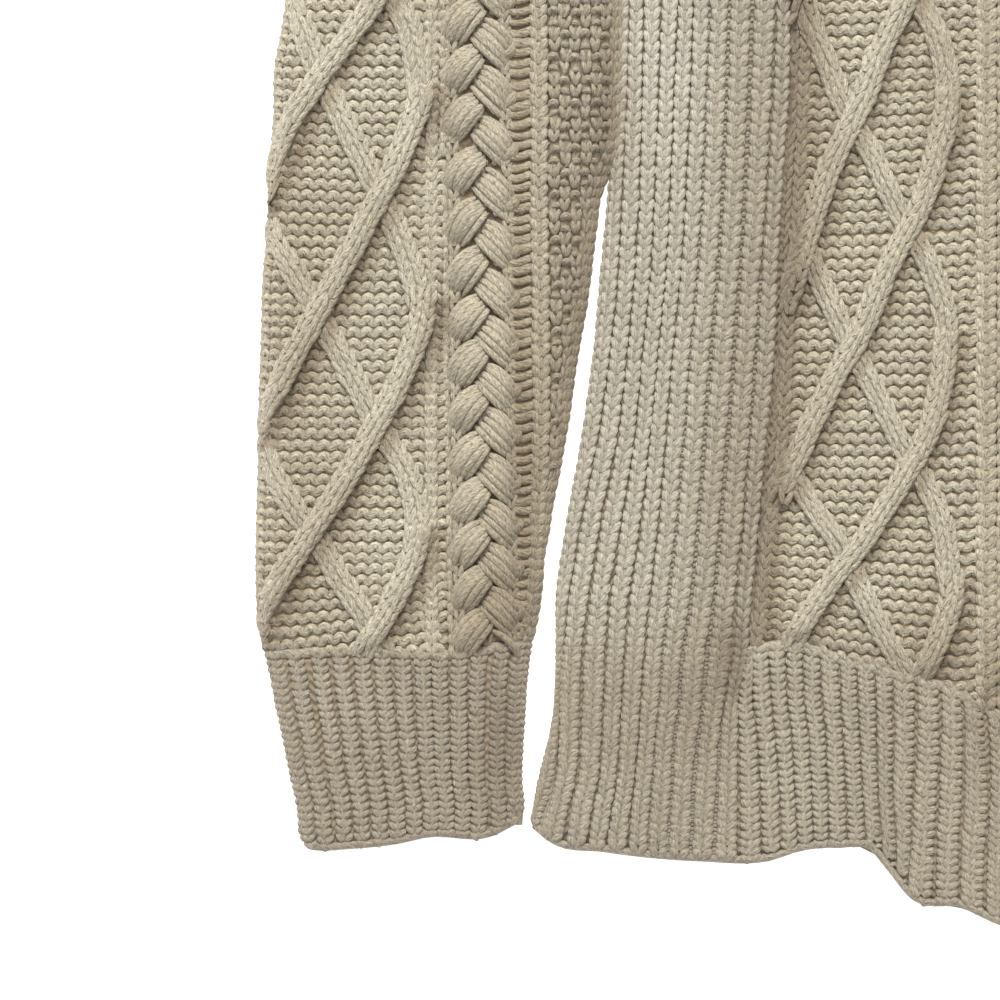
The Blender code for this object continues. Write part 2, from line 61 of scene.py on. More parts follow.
BODY_SIDE = (  # y, x of the side fold
    (12.0, -265.2), (34.0, -260.8), (52.0, -256.5), (75.0, -255.0),
    (101.0, -254.8), (127.0, -251.2), (155.0, -246.3), (188.0, -241.5),
    (225.0, -238.0), (265.0, -234.2), (327.0, -231.2), (392.0, -229.3),
    (430.0, -228.0),
)
RIB_LINE = (  # y, x of the line between the side rib and the front
    (-0.8, -201.4), (22.8, -197.6), (41.8, -192.3), (60.8, -187.3),
    (79.4, -183.2), (114.0, -179.7), (137.0, -177.5), (175.0, -173.7),
    (213.0, -170.6), (251.0, -168.7), (327.0, -167.2), (365.0, -171.0),
    (410.0, -181.0), (450.0, -194.6), (484.2, -210.0),
)
HEM_EDGE = (  # x, y of the lower edge
    (-265.2, 12.0), (-258.9, 6.8), (-237.6, 2.7), (-201.4, -0.8),
    (-174.4, -0.6), (-162.8, 3.2), (-148.0, 4.4), (-136.0, 3.2),
    (-127.9, -6.7), (-122.0, -14.1), (-101.8, -18.5), (-87.4, -25.1),
    (-50.0, -30.5), (0.0, -32.0),
)
HEM_TOP = (  # x, y of the top of the hem rib
    (-183.2, 79.4), (-171.0, 81.7), (-159.0, 80.0), (-144.0, 75.0),
    (-130.0, 71.4), (-108.0, 65.4), (-93.0, 57.4), (-50.0, 48.0), (0.0, 45.0),
)
SLEEVE = (  # outer_x, outer_y, inner_x, inner_y, from the frame's top row up
    (-361.8, 327.0, -232.0, 327.0), (-350.0, 375.0, -231.1, 362.0),
    (-336.0, 430.0, -230.2, 392.0), (-313.0, 490.0, -229.4, 412.0),
    (-282.0, 548.0, -229.0, 422.0), (-243.0, 600.0, -228.7, 427.5),
    (-202.6, 640.4, -228.5, 430.4),
)
SLEEVE_OUT = (  # y, x of the sleeve's outer fold
    (-20, 293), (0, 288.5), (38, 282), (64, 277), (115, 275.7), (178, 270.6),
    (217, 270), (281, 264.7), (332, 263.5), (402, 261), (438, 261),
    (504, 259), (555, 258), (606, 259), (644, 264), (670, 270.6), (705, 277),
    (733, 283.4), (767, 289.7), (790, 295), (810, 299), (835, 301),
    (848, 305), (870, 309),
)
SLEEVE_IN = (  # y, x of its inner fold
    (-20, 624), (100, 621), (153, 617.5), (176, 607), (194, 599.7),
    (230, 594.6), (270, 589.5), (300, 585.7), (338, 579), (384, 571.6),
    (415, 567.8), (443, 562.7), (473.5, 557.6), (504, 551), (530, 547.4),
    (557.6, 542), (578, 541), (611, 537), (639, 530.8), (672, 525.7),
    (713, 523), (749, 520.6), (784.5, 520), (805, 521.9), (819, 520.6),
    (870, 519),
)
CUFF_EDGE = (  # x, y of the cuff's lower edge
    (295, 842), (305, 848), (314, 853), (342, 850), (372.6, 848), (403, 844),
    (421, 838.6), (436.4, 836.8), (459.4, 839), (474.7, 841), (491, 838.6),
    (502.8, 831.7), (514, 826.6), (520.6, 819), (530, 815),
)
CUFF_TOP = ((255, 656), (310, 653), (362, 650), (450, 655), (530, 640), (560, 638))

# folds and creases of the front: (lift mm, half width, points x, y ...)
FOLDS = (
    (-2.3, 10.0, 797, -260, 797, 0, 792, 100, 784, 280, 776, 440, 762, 520,
     750, 600, 742, 660, 738, 700),
    (-1.0, 9.0, 738, 700, 736, 760, 738, 850),
    (0.9, 26.0, 640, 780, 690, 500, 715, 100),
    (0.9, 30.0, 862, 600, 858, 250, 872, -40),
    (1.6, 22.0, 848, 845, 836, 700),
    (-1.2, 10.0, 886, 880, 888, 800, 893, 712),
    (1.3, 22.0, 935, 880, 945, 720),
    (-1.6, 6.5, 984, 770, 987, 700, 1003, 690),
    (1.0, 30.0, 1085, 905, 1070, 740),
    (1.1, 34.0, 745, -230, 930, -60),
    (0.8, 44.0, 1070, 360, 1280, 300),
    (0.7, 46.0, 1150, -270, 1410, -350),
    (-1.4, 10.0, 1745, 830, 1700, 560, 1668, -60),
    (0.8, 38.0, 1790, 700, 1760, 60),
    (0.9, 28.0, 1640, 540, 1618, -60),
    (1.2, 24.0, 1622, 850, 1610, 710),
    (-1.1, 11.0, 1560, 880, 1572, 740),
    (1.2, 25.0, 1512, 890, 1500, 700),
    (0.9, 36.0, 1355, 910, 1336, 750),
    (1.0, 32.0, 1724, -200, 1506, -70),
    (0.7, 42.0, 1388, 540, 1545, 466),
)


def smooth(rows, at):
    """Two-column table on a smooth curve through its rows, at many places."""
    xs = np.array([r[0] for r in rows], float)
    ys = np.array([r[1] for r in rows], float)
    slope = np.gradient(ys, xs)
    at = np.clip(np.asarray(at, float), xs[0], xs[-1])
    i = np.clip(np.searchsorted(xs, at, side="right") - 1, 0, len(xs) - 2)
    span = xs[i + 1] - xs[i]
    t = (at - xs[i]) / span
    return (
        (2 * t**3 - 3 * t**2 + 1) * ys[i]
        + (t**3 - 2 * t**2 + t) * span * slope[i]
        + (3 * t**2 - 2 * t**3) * ys[i + 1]
        + (t**3 - t**2) * span * slope[i + 1]
    )


def dense(rows, low, high, steps=400):
    at = np.linspace(low, high, steps)
    return at, smooth(rows, at)


def ease(t):
    t = np.clip(t, 0.0, 1.0)
    return t * t * (3 - 2 * t)


def to_x(cx):
    return (np.asarray(cx, float) - CX) * CELL


def to_y(cy):
    return (CY - np.asarray(cy, float)) * CELL


def cell_x(x):
    return np.asarray(x, float) / CELL + CX


def cell_y(y):
    return CY - np.asarray(y, float) / CELL


def armhole_curve(t):
    pts = (UNDERARM, (-205.0, 480.0), (-190.0, 570.0), SHOULDER_TIP)
    w = ((1 - t) ** 3, 3 * t * (1 - t) ** 2, 3 * t * t * (1 - t), t**3)
    return (
        sum(k * p[0] for k, p in zip(w, pts)),
        sum(k * p[1] for k, p in zip(w, pts)),
    )


ARM_T = np.linspace(0, 1, 60)
ARM_X, ARM_Y = armhole_curve(ARM_T)
SPLIT = armhole_curve(ARM_SPLIT)
SIDE_Y, SIDE_X = dense(BODY_SIDE, 12.0, 430.0)
RIB_Y, RIB_X = dense(RIB_LINE, -0.8, 484.2)
EDGE_X, EDGE_Y = dense(HEM_EDGE, -265.2, 0.0)
TOP_X, TOP_Y = dense(HEM_TOP, -183.2, 0.0)


def side_x(y):
    """Half width of the body at the side fold; very wide above the underarm."""
    return -np.interp(y, SIDE_Y, SIDE_X) + np.where(y > 430.0, (y - 430.0) * 40, 0.0)


def rib_x(y):
    """Distance from the centre line to the side rib's inner line."""
    return -np.interp(y, RIB_Y, RIB_X)


def arm_x(y):
    return -np.interp(y, ARM_Y, ARM_X)


def hem_edge(x):
    return np.interp(-np.abs(x), EDGE_X, EDGE_Y)


def hem_top(x):
    return np.interp(-np.abs(x), TOP_X, TOP_Y)


def neck_y(x):
    n = np.clip(np.abs(x) / NECK_HALF, 0, 1)
    return NECK_TOP - NECK_DROP * (1 - n**NECK_POWER)


def shoulder_y(x):
    return NECK_TOP + (SHOULDER_TIP[1] - NECK_TOP) * np.clip(
        (np.abs(x) - NECK_HALF) / (-SHOULDER_TIP[0] - NECK_HALF), 0, 1
    )


def fold_lift(x, y):
    """Every trough and ridge of the front layer together."""
    cx, cy = cell_x(x), cell_y(y)
    total = np.zeros(np.shape(cx))
    for lift, half, *pts in FOLDS:
        pts = np.array(pts, float).reshape(-1, 2)
        best = np.full(np.shape(cx), 1e9)
        for (ax, ay), (bx, by) in zip(pts[:-1], pts[1:]):
            dx, dy = bx - ax, by - ay
            t = np.clip(((cx - ax) * dx + (cy - ay) * dy) / (dx * dx + dy * dy), 0, 1)
            ex, ey = cx - ax - t * dx, cy - ay - t * dy
            best = np.minimum(best, ex * ex + ey * ey)
        total += lift * np.exp(-best / half**2)
    return np.clip(total, -2.9, 2.3)


def front_top(x, y):
    """Height of the front layer's face."""
    ax, ay = SHOULDER_TIP
    bx, by = -NECK_HALF, NECK_TOP
    length = math.hypot(bx - ax, by - ay)
    off = ((-np.abs(x) - ax) * (by - ay) - (y - ay) * (bx - ax)) / length
    drop = 1.4 * ease(1 - off / 14.0)
    low = np.clip((y - hem_edge(x)) / 3.2, 0, 1)
    tuck = 2.2 * (1 - np.sqrt(np.clip(1 - (1 - low) ** 2, 0, 1)))
    seam = 1.0 * np.exp(-(((np.abs(x) - arm_x(y)) / 2.6) ** 2)) * ease((y - 425) / 30)
    return FRONT_TOP + fold_lift(x, y) - drop - tuck - seam


ROLL_BODY = 6.0


def body(a, b):
    """Point of the body's face. Past the side fold, a goes on round it."""
    roll = ROLL_BODY
    gone = side_x(b) - np.abs(a)
    s = gone + (math.pi / 2 - 1) * roll
    phi = np.clip(s / roll, -math.pi / 2, math.pi / 2)
    d = np.where(
        s > roll * math.pi / 2,
        gone,
        roll * (1 - np.cos(phi)) + np.clip(-roll * math.pi / 2 - s, 0, None),
    )
    x = np.sign(a + 1e-9) * (side_x(b) - d)
    top = front_top(x, b)
    z = np.where(
        phi > 0, FOLD_Z + (top - FOLD_Z) * np.sin(phi), FOLD_Z + (FOLD_Z - 1.0) * np.sin(phi)
    )
    return np.stack([x, b + 0 * x, z], -1)


def unroll_body(x, y):
    """Plan x on the face, as the coordinate that body() takes."""
    d = side_x(y) - np.abs(x)
    phi = np.arccos(np.clip(1 - d / ROLL_BODY, -1, 1))
    s = ROLL_BODY * phi
    gone = np.where(d < ROLL_BODY, s - (math.pi / 2 - 1) * ROLL_BODY, d)
    return np.sign(x) * (side_x(y) - gone)


# ---- sleeve: l is y up to the top of the charted part, then the length beyond
ROLL_SLEEVE = 11.0
SL_RAISE = 1.6
_sl = [(0.0, 0.0, 0.0, 0.0, 0.0)]
_mid = [((a + c) / 2, (b + d) / 2) for a, b, c, d in SLEEVE]
SLEEVE_L = [327.0]
for _p, _q in zip(_mid[:-1], _mid[1:]):
    SLEEVE_L.append(SLEEVE_L[-1] + math.hypot(_q[0] - _p[0], _q[1] - _p[1]))
SLEEVE_END = SLEEVE_L[-1]
_t0, _o0 = dense(SLEEVE_OUT, -20, 870)
_t1, _i0 = dense(SLEEVE_IN, -20, 870)


def sleeve_ends(l):
    """The two folds of the sleeve's ring at length l: outer x, y and inner x, y."""
    cy = cell_y(np.minimum(l, 327.0))
    low = [
        to_x(np.interp(cy, _t0, _o0)), np.minimum(l, 327.0),
        to_x(np.interp(cy, _t1, _i0)), np.minimum(l, 327.0),
    ]
    out = []
    for k in range(4):
        rows = [(s, r[k]) for s, r in zip(SLEEVE_L, SLEEVE)]
        up = smooth(rows, l)
        shift = low[k] - rows[0][1] if k in (0, 2) else 0.0
        out.append(np.where(l > 327.0, up + shift * ease(1 - (l - 327) / 40), low[k]))
    return out


def sleeve_plan(u, l):
    ox, oy, ix, iy = sleeve_ends(l)
    share = ease((l - 327.0) / (SLEEVE_END - 327.0)) ** 1.5
    ax, ay = armhole_curve(1 - np.clip(u, 0, 1))
    cx = SHOULDER_TIP[0] + (UNDERARM[0] - SHOULDER_TIP[0]) * u
    cy = SHOULDER_TIP[1] + (UNDERARM[1] - SHOULDER_TIP[1]) * u
    return (
        ox + (ix - ox) * u + (ax - cx) * share,
        oy + (iy - oy) * u + (ay - cy) * share,
    )


def sleeve(a, b):
    """Point of a sleeve's face; a past a fold goes on round it."""
    side = np.where(a > 0, -1.0, 1.0)
    a = a * side  # both sleeves are worked on the left one
    ox, oy, ix, iy = sleeve_ends(b)
    low = np.minimum(b, 327.0)
    mid = to_x((np.interp(cell_y(low), _t0, _o0) + np.interp(cell_y(low), _t1, _i0)) / 2)
    width = np.hypot(ix - ox, iy - oy)
    roll = np.minimum(ROLL_SLEEVE, width / 4)
    off = a - mid
    gone = width / 2 - np.abs(off)
    s = gone + (math.pi / 2 - 1) * roll
    phi = np.clip(s / roll, -math.pi / 2, math.pi / 2)
    d = np.where(
        s > roll * math.pi / 2,
        gone,
        roll * (1 - np.cos(phi)) + np.clip(-roll * math.pi / 2 - s, 0, None),
    )
    u = 0.5 + np.sign(off) * (0.5 - d / width)
    x, y = sleeve_plan(u, b)
    calm = ease((SLEEVE_END - b) / 90.0) * (0.55 + 0.45 * ease((b - 10) / 60))
    top = FRONT_TOP + (0.4 + SL_RAISE * (1 - (2 * u - 1) ** 4)) * calm
    top = top - 0.9 * np.exp(-(((b - SLEEVE_END) / 3.0) ** 2))
    edge = to_y(np.interp(cell_x(x), *zip(*CUFF_EDGE)))
    low = np.clip((b - edge) / 3.2, 0, 1)
    top = top - np.where(
        b < 60, 2.4 * (1 - np.sqrt(np.clip(1 - (1 - low) ** 2, 0, 1))), 0.0
    )
    z = np.where(
        phi > 0, FOLD_Z + (top - FOLD_Z) * np.sin(phi), FOLD_Z + (FOLD_Z - 1.0) * np.sin(phi)
    )
    return np.stack([x * side, y, z], -1)


def unroll_sleeve(x, y):
    """Plan x in the charted part of the left sleeve, as sleeve() takes it."""
    cy = cell_y(y)
    o, i = to_x(np.interp(cy, _t0, _o0)), to_x(np.interp(cy, _t1, _i0))
    mid, width = (o + i) / 2, i - o
    roll = np.minimum(ROLL_SLEEVE, width / 4)
    off = x - mid
    d = width / 2 - np.abs(off)
    phi = np.arccos(np.clip(1 - d / roll, -1, 1))
    gone = np.where(d < roll, roll * phi - (math.pi / 2 - 1) * roll, d)
    return mid + np.sign(off) * (width / 2 - gone)


def band(a, b):
    """Point of the neckband: a goes round the front half (-1 to 1), b across it."""
    s = np.clip(a, -1.04, 1.04)
    n = np.clip(np.abs(s), 0, 1) ** NECK_POWER
    x0, y0 = (NECK_HALF - 0.4) * s, NECK_TOP + 0.4 - NECK_DROP * (1 - n)
    x1, y1 = BAND_HALF * s, BAND_TOP - BAND_DROP * (1 - n)
    arch = np.sin(np.clip(b, 0, 1) * math.pi)
    z = 5.9 + 1.5 * arch - 1.6 * ease((np.abs(s) - 0.93) / 0.11)
    return np.stack([x0 + (x1 - x0) * b, y0 + (y1 - y0) * b, z], -1)


def band_back(a, b):
    """Point of the back half of the neckband, on the face turned up."""
    s = np.clip(a, -1.04, 1.04)
    n = np.clip(np.abs(s), 0, 1) ** 2
    x0, y0 = (NECK_HALF - 0.4) * s, NECK_TOP + 0.4 - 8.0 * (1 - n)
    x1, y1 = BAND_HALF * s, BAND_TOP - BAND_BACK * (1 - n)
    z = 2.4 + 0.6 * np.sin(np.clip(b, 0, 1) * math.pi)
    return np.stack([x0 + (x1 - x0) * b, y0 + (y1 - y0) * b, z], -1)


# ------------------------------------------------------------- yarn as geometry
PILES = {}
# painted broad soft shade and painted light standing in for the cloth's slow undulations: pile name start, chart x, y,
# reach both ways, depth (below zero, painted light)
PAINTED_SHADE_PATCHES = (
    ("sleeve", 345, 60, 70, 90, -0.30), ("sleeve", 415, 150, 24, 50, -0.35),
    ("sleeve", 385, 340, 35, 120, -0.22), ("sleeve", 395, 560, 45, 60, -0.35),
    ("sleeve", 370, 670, 70, 60, -0.38), ("sleeve", 528, 470, 24, 130, 0.50),
    ("sleeve", 495, 620, 28, 90, 0.45), ("sleeve", 575, 300, 32, 160, 0.30),
    ("sleeve", 606, 120, 18, 60, 0.35), ("sleeve", 290, 380, 25, 200, 0.15),
    ("sleeve", 330, 530, 28, 40, 0.20),
    ("cuff", 500, 740, 25, 80, 0.40), ("cuff", 340, 700, 60, 40, -0.20),
    ("side", 765, 300, 50, 330, 0.28), ("side", 725, 500, 40, 160, 0.28),
    ("side", 692, 600, 30, 100, 0.20), ("side", 698, 735, 24, 34, 0.18),
    ("side", 660, 60, 45, 110, -0.35), ("side", 618, 120, 20, 60, 0.45),
    ("side", 600, 800, 60, 40, -0.20), ("side", 730, 650, 18, 32, 0.30),
    ("hem", 800, 770, 50, 70, -0.16), ("hem", 985, 740, 22, 60, 0.25),
    ("front", 815, 80, 24, 150, 0.45), ("front", 815, 400, 20, 100, 0.18),
    ("front", 938, 60, 26, 90, 0.28), ("front", 938, 440, 26, 200, 0.14),
    ("front", 860, 60, 40, 80, -0.12), ("front", 928, 620, 22, 40, 0.25),
)
SHADE_LINES = []  # (pile name start, chart ys, chart xs, reach) where yarn lies in shade


def painted_shade(name, x, y):
    """Painted shade on the yarn: how much darker it is made towards the lower edge, over the cuffs, in troughs, beside
    raised strands and in soft patches; below zero it is painted light.
    """
    cx, cy = cell_x(-np.abs(x)), cell_y(y)
    # painted shade: darker towards the lower edge
    low = 0.50 * ease((cy - 585.0) / 110.0)
    # painted shade: the side rib darker towards its inner part
    if name.startswith("side"):
        more = 1 - ease((cy - 680.0) / 60.0) * ease((cx - 650.0) / 80.0)
        low = low * (1 + 0.2 * more) + 0.20 * ease((cx - 680.0) / 70.0) * more
    # painted shade: a band beside the centre panel
    if name.startswith("front"):
        low = low + 0.32 * ease((cx - 976.0) / 8.0) * (1 - 0.8 * ease((cx - 1012.0) / 40.0))
    # painted shade over the whole sleeve, more towards the cuff and over the braid, ladder and moss
    if name.startswith("sleeve"):
        low = 0.10 + 0.24 * ease((cy - 520.0) / 110.0)
        low = low + 0.16 * ease((cx - 440.0) / 10.0) + 0.12 * ease((cx - 545.0) / 8.0)
    # painted shade over all of the cuffs
    if name.startswith("cuff"):
        low = np.full(np.shape(x), 0.60)
    total = low
    # painted shade and shadow along the shade lines
    for start, ys, xs, reach, strength in SHADE_LINES:
        if name.startswith(start):
            off = (cx - np.interp(cy, ys, xs)) / reach
            inside = (cy > ys[0] - 5) & (cy < ys[-1] + 5)
            total = total + np.where(inside, strength * np.exp(-off * off), 0.0)
    # painted soft patches of shade and light
    for start, px, py, rx, ry, strength in PAINTED_SHADE_PATCHES:
        if name.startswith(start):
            total = total + strength * np.exp(-(((cx - px) / rx) ** 2) - ((cy - py) / ry) ** 2)
    return np.clip(total, -0.5, 1)


HAIRINESS = 0.36  # loose fibres to a millimetre of yarn
HAIR_SEED = np.random.default_rng(7)
EDGE_SEED = np.random.default_rng(11)
HAIRS = {}


def tease(name, v, points, tangent, across, normals, rate):
    """Loose fibres that lie on the yarn: short thin strokes, mostly along it."""
    n, k, ring = v.shape[:3]
    length = np.linalg.norm(np.diff(points, axis=1), axis=2).sum()
    m = HAIR_SEED.poisson(length * rate)
    if m == 0:
        return
    i, j = HAIR_SEED.integers(0, n, m), HAIR_SEED.integers(0, k, m)
    r = HAIR_SEED.integers(1, ring - 1, m)
    start = v[i, j, r]
    along = tangent[i, j] / (np.linalg.norm(tangent[i, j], axis=1, keepdims=True) + 1e-9)
    turn = HAIR_SEED.normal(0.35, 0.5, m)[:, None]
    way = along * np.cos(turn) + across[i, j] * np.sin(turn)
    half = HAIR_SEED.uniform(0.35, 1.15, m)[:, None]
    up = normals[i, j]
    lift = HAIR_SEED.uniform(0.02, 0.16, m)[:, None]
    a = start - way * half + up * lift
    b = start + way * half + up * (lift + HAIR_SEED.uniform(-0.12, 0.12, m)[:, None])
    side = np.cross(way, up)
    side /= np.linalg.norm(side, axis=1, keepdims=True) + 1e-9
    wide = HAIR_SEED.uniform(0.05, 0.11, m)[:, None]
    quad = np.stack([a - side * wide, a + side * wide, b + side * wide * 0.6, b - side * wide * 0.6], 1)
    quad[..., 2] = np.maximum(quad[..., 2], 0.2)
    # painted shade under each loose fibre
    tone = painted_shade(name, start[:, 0], start[:, 1])
    HAIRS.setdefault(name, []).append((quad, tone, HAIR_SEED.uniform(0, 1, m)))


class Pile:
    """Loops of yarn gathered into one mesh."""

    def __init__(self, name):
        self.name, self.count = name, 0
        self.verts, self.quads, self.uv, self.tone = [], [], [], []
        PILES[name] = self

    def tubes(self, points, normals, half, tall, ring, loops=False):
        """Rounded strips along rows of points; half and tall are mm."""
        n, k = points.shape[:2]
        tangent = np.gradient(points, axis=1)
        across = np.cross(tangent, normals)
        across /= np.linalg.norm(across, axis=2, keepdims=True) + 1e-12
        low = 0.42 if ring > 5 else 0.25
        angle = np.linspace(-low, math.pi + low, ring)
        c, s = np.cos(angle), np.sin(angle)
        v = (
            points[:, :, None, :]
            + across[:, :, None, :] * (half[:, :, None] * c)[..., None]
            + normals[:, :, None, :] * (tall[:, :, None] * s)[..., None]
        )
        v[..., 2] = np.maximum(v[..., 2], 0.15)
        if self.name.endswith("_a") and ring > 4:
            tease(self.name, v, points, tangent, across, normals, HAIRINESS)
        step = np.linalg.norm(np.diff(points, axis=1), axis=2)
        run = np.concatenate([np.zeros((n, 1)), np.cumsum(step, axis=1)], axis=1)
        start = SEED.uniform(0, 200, (n, 1))
        u = np.repeat((run + start)[:, :, None], ring, axis=2)
        w = np.broadcast_to(angle / math.pi, (n, k, ring))
        base = self.count + np.arange(n)[:, None, None] * (k * ring)
        i = np.arange(k - 1)[None, :, None] * ring
        j = np.arange(ring - 1)[None, None, :]
        a = base + i + j
        q = np.stack([a, a + ring, a + ring + 1, a + 1], -1).reshape(-1, 4)
        self.verts.append(v.reshape(-1, 3))
        self.quads.append(q)
        self.uv.append(np.stack([u, w], -1).reshape(-1, 2))
        # first channel: random tone of each loop; second channel: painted shade
        r = np.empty((n, k, ring, 2))
        r[..., 0] = SEED.uniform(0, 1, (n, 1, 1))
        r[..., 1] = np.broadcast_to(painted_shade(self.name, v[..., 0], v[..., 1]), (n, k, ring))
        self.tone.append(r.reshape(-1, 2))
        self.count += n * k * ring

    def build(self, material):
        verts = np.concatenate(self.verts)
        quads = np.concatenate(self.quads)
        uv, tone = np.concatenate(self.uv), np.concatenate(self.tone)
        mesh = bpy.data.meshes.new(self.name)
        mesh.vertices.add(len(verts))
        out = verts.copy()
        out[:, 1] -= MIDDLE
        mesh.vertices.foreach_set("co", (out * MM).astype(np.float32).ravel())
        mesh.loops.add(len(quads) * 4)
        mesh.loops.foreach_set("vertex_index", quads.astype(np.int32).ravel())
        mesh.polygons.add(len(quads))
        mesh.polygons.foreach_set("loop_start", np.arange(0, len(quads) * 4, 4, dtype=np.int32))
        mesh.polygons.foreach_set("loop_total", np.full(len(quads), 4, dtype=np.int32))
        mesh.polygons.foreach_set("use_smooth", np.ones(len(quads), dtype=bool))
        mesh.update(calc_edges=True)
        for name, data in (("yarn", uv), ("tone", tone)):
            layer = mesh.uv_layers.new(name=name)
            layer.data.foreach_set("uv", data[quads.ravel()].astype(np.float32).ravel())
        mesh.materials.append(material)
        thing = bpy.data.objects.new(self.name, mesh)
        bpy.context.scene.collection.objects.link(thing)
        return thing


def surface(place, a, b):
    """Points and outward normals of one surface."""
    e = 0.25
    p = place(a, b)
    da = place(a + e, b) - place(a - e, b)
    db = place(a, b + e) - place(a, b - e)
    n = np.cross(da, db)
    n /= np.linalg.norm(n, axis=-1, keepdims=True) + 1e-12
    return p, n


SHAPES = {
    "leg": ((0, 0.42), (0.14, 0.82), (0.34, 1.0), (0.62, 0.98), (0.84, 0.8), (1, 0.5)),
    "drop": ((0, 0.72), (0.15, 0.95), (0.4, 1.02), (0.65, 0.95), (0.86, 0.78), (1, 0.40)),
    "bar": ((0, 0.55), (0.15, 0.9), (0.38, 1.0), (0.62, 1.0), (0.85, 0.9), (1, 0.55)),
    "long": ((0, 0.5), (0.1, 0.85), (0.3, 1.0), (0.7, 1.0), (0.9, 0.85), (1, 0.5)),
    "bump": ((0, 0.5), (0.2, 0.86), (0.5, 1.0), (0.5001, 1.0), (0.8, 0.86), (1, 0.5)),
}


def loops(piles, place, ctrl, high, half, tall, shape="leg", fine=(6, 6), rough=(4, 4),
          jitter=0.35, keep=None, mirror=False, tip=0.0):
    """Yarn loops. ctrl (n, 3, 2) chart points of a bent line, high (n, 3) mm over the face."""
    ctrl = np.array(ctrl, float).reshape(-1, 3, 2)
    n = len(ctrl)
    if n == 0:
        return
    high = np.broadcast_to(np.asarray(high, float), (n, 3)).copy()
    half = np.broadcast_to(np.asarray(half, float), (n,)).copy()
    tall = np.broadcast_to(np.asarray(tall, float), (n,)).copy()
    ctrl = ctrl + SEED.normal(0, jitter, (n, 1, 2)) + SEED.normal(0, jitter * 0.6, (n, 3, 2))
    half = half * SEED.normal(1.0, 0.05, n)
    high = high + SEED.normal(0, 0.06, (n, 1))
    centre = ctrl.mean(1)
    if keep is not None:
        ok = keep(to_x(centre[:, 0]), to_y(centre[:, 1]))
        ctrl, high, half, tall, centre = ctrl[ok], high[ok], half[ok], tall[ok], centre[ok]
        n = len(ctrl)
        if n == 0:
            return
    far = 15 + 22 * EDGE_SEED.uniform(0, 1, n) ** 1.3
    seen = (
        (centre[:, 0] > -far) & (centre[:, 0] < 1000 + far)
        & (centre[:, 1] > -far) & (centre[:, 1] < 1000 + far)
    )
    jobs = [(ok, f, p) for ok, f, p in ((seen, fine, piles[0]), (~seen, rough, piles[1])) if ok.any()]
    if mirror:
        jobs.append((np.ones(n, bool), rough, piles[2]))
    for number, (ok, (k, ring), pile) in enumerate(jobs):
        if pile is not piles[0]:
            ring = 3
        t = np.linspace(0, 1, k)
        t = t + 0.06 * np.sin(t * math.pi)
        w = np.stack([(1 - t) ** 2, 2 * t * (1 - t), t**2], 0)
        line = np.einsum("nck,ct->ntk", ctrl[ok], w)
        h = high[ok] @ w - tip * ease((t - 0.72) / 0.28)
        xs, ys = zip(*SHAPES[shape])
        wide = np.interp(t, xs, ys)
        x, y = to_x(line[..., 0]), to_y(line[..., 1])
        if mirror and number == len(jobs) - 1:
            x = -x
        p, nrm = surface(place, x, y)
        pile.tubes(
            p + nrm * h[..., None], nrm,
            (half[ok, None] * CELL) * wide[None], tall[ok, None] * (0.35 + 0.65 * wide[None]), ring,
        )


def strands(piles, place, line, high, half, tall, fine_ring=6, rough_ring=4, keep=None,
            mirror=False, thin=1):
    """One long tube through many chart points, cut where it leaves its cloth."""
    line = np.asarray(line, float)
    high = np.broadcast_to(np.asarray(high, float), (len(line),))
    half = np.broadcast_to(np.asarray(half, float), (len(line),))
    tall = np.broadcast_to(np.asarray(tall, float), (len(line),))
    ok = np.ones(len(line), bool)
    if keep is not None:
        ok = keep(to_x(line[:, 0]), to_y(line[:, 1]))
    seen = (
        (line[:, 0] > -15) & (line[:, 0] < 1015) & (line[:, 1] > -15) & (line[:, 1] < 1015)
    )

    def runs(mask):
        edges = np.flatnonzero(np.diff(np.concatenate([[0], mask.astype(int), [0]])))
        return [(s, e) for s, e in zip(edges[::2], edges[1::2]) if e - s > 2]

    jobs = [(s, e, 1, 0, False) for s, e in runs(ok & seen)]
    jobs += [(max(s - 1, 0), min(e + 1, len(line)), thin, 1, False) for s, e in runs(ok & ~seen)]
    if mirror:
        jobs += [(s, e, thin, 2, True) for s, e in runs(ok)]
    for s, e, step, which, turned in jobs:
        pick = np.arange(s, e, step)
        if len(pick) < 3:
            continue
        x, y = to_x(line[pick, 0]), to_y(line[pick, 1])
        if turned:
            x = -x
        p, nrm = surface(place, x, y)
        ends = np.ones(len(pick))
        ends[0] = ends[-1] = 0.6
        piles[which].tubes(
            (p + nrm * high[pick, None])[None], nrm[None],
            (half[pick] * CELL * ends)[None], (tall[pick] * ends)[None],
            fine_ring if which == 0 else 3,
        )


def row_ladder(low, high, pitches):
    """Row heights from low up to high (y falls), spaced by a table of (y, pitch)."""
    ys, ps = zip(*pitches)
    rows, y = [], low
    while y > high:
        rows.append(y)
        y -= float(np.interp(y, ys, ps))
    return np.array(rows)


def v_legs(c0, c1, w, y, p, grow=0.0):
    """The two legs of one knit stitch: feet together, tips apart, each pair nested in the next."""
    foot_y, tip_y = y + 0.34 * p + 3.6 + grow, y - 0.28 * p - 4.2 - grow
    out = []
    for side in (-1, 1):
        x0, x1 = c0 + side * 0.075 * w, c1 + side * 0.365 * w
        xm = c0 + (c1 - c0) * 0.5 + side * 0.25 * w
        out.append(((x0, foot_y), (xm, foot_y + (tip_y - foot_y) * 0.5), (x1, tip_y)))
    return out


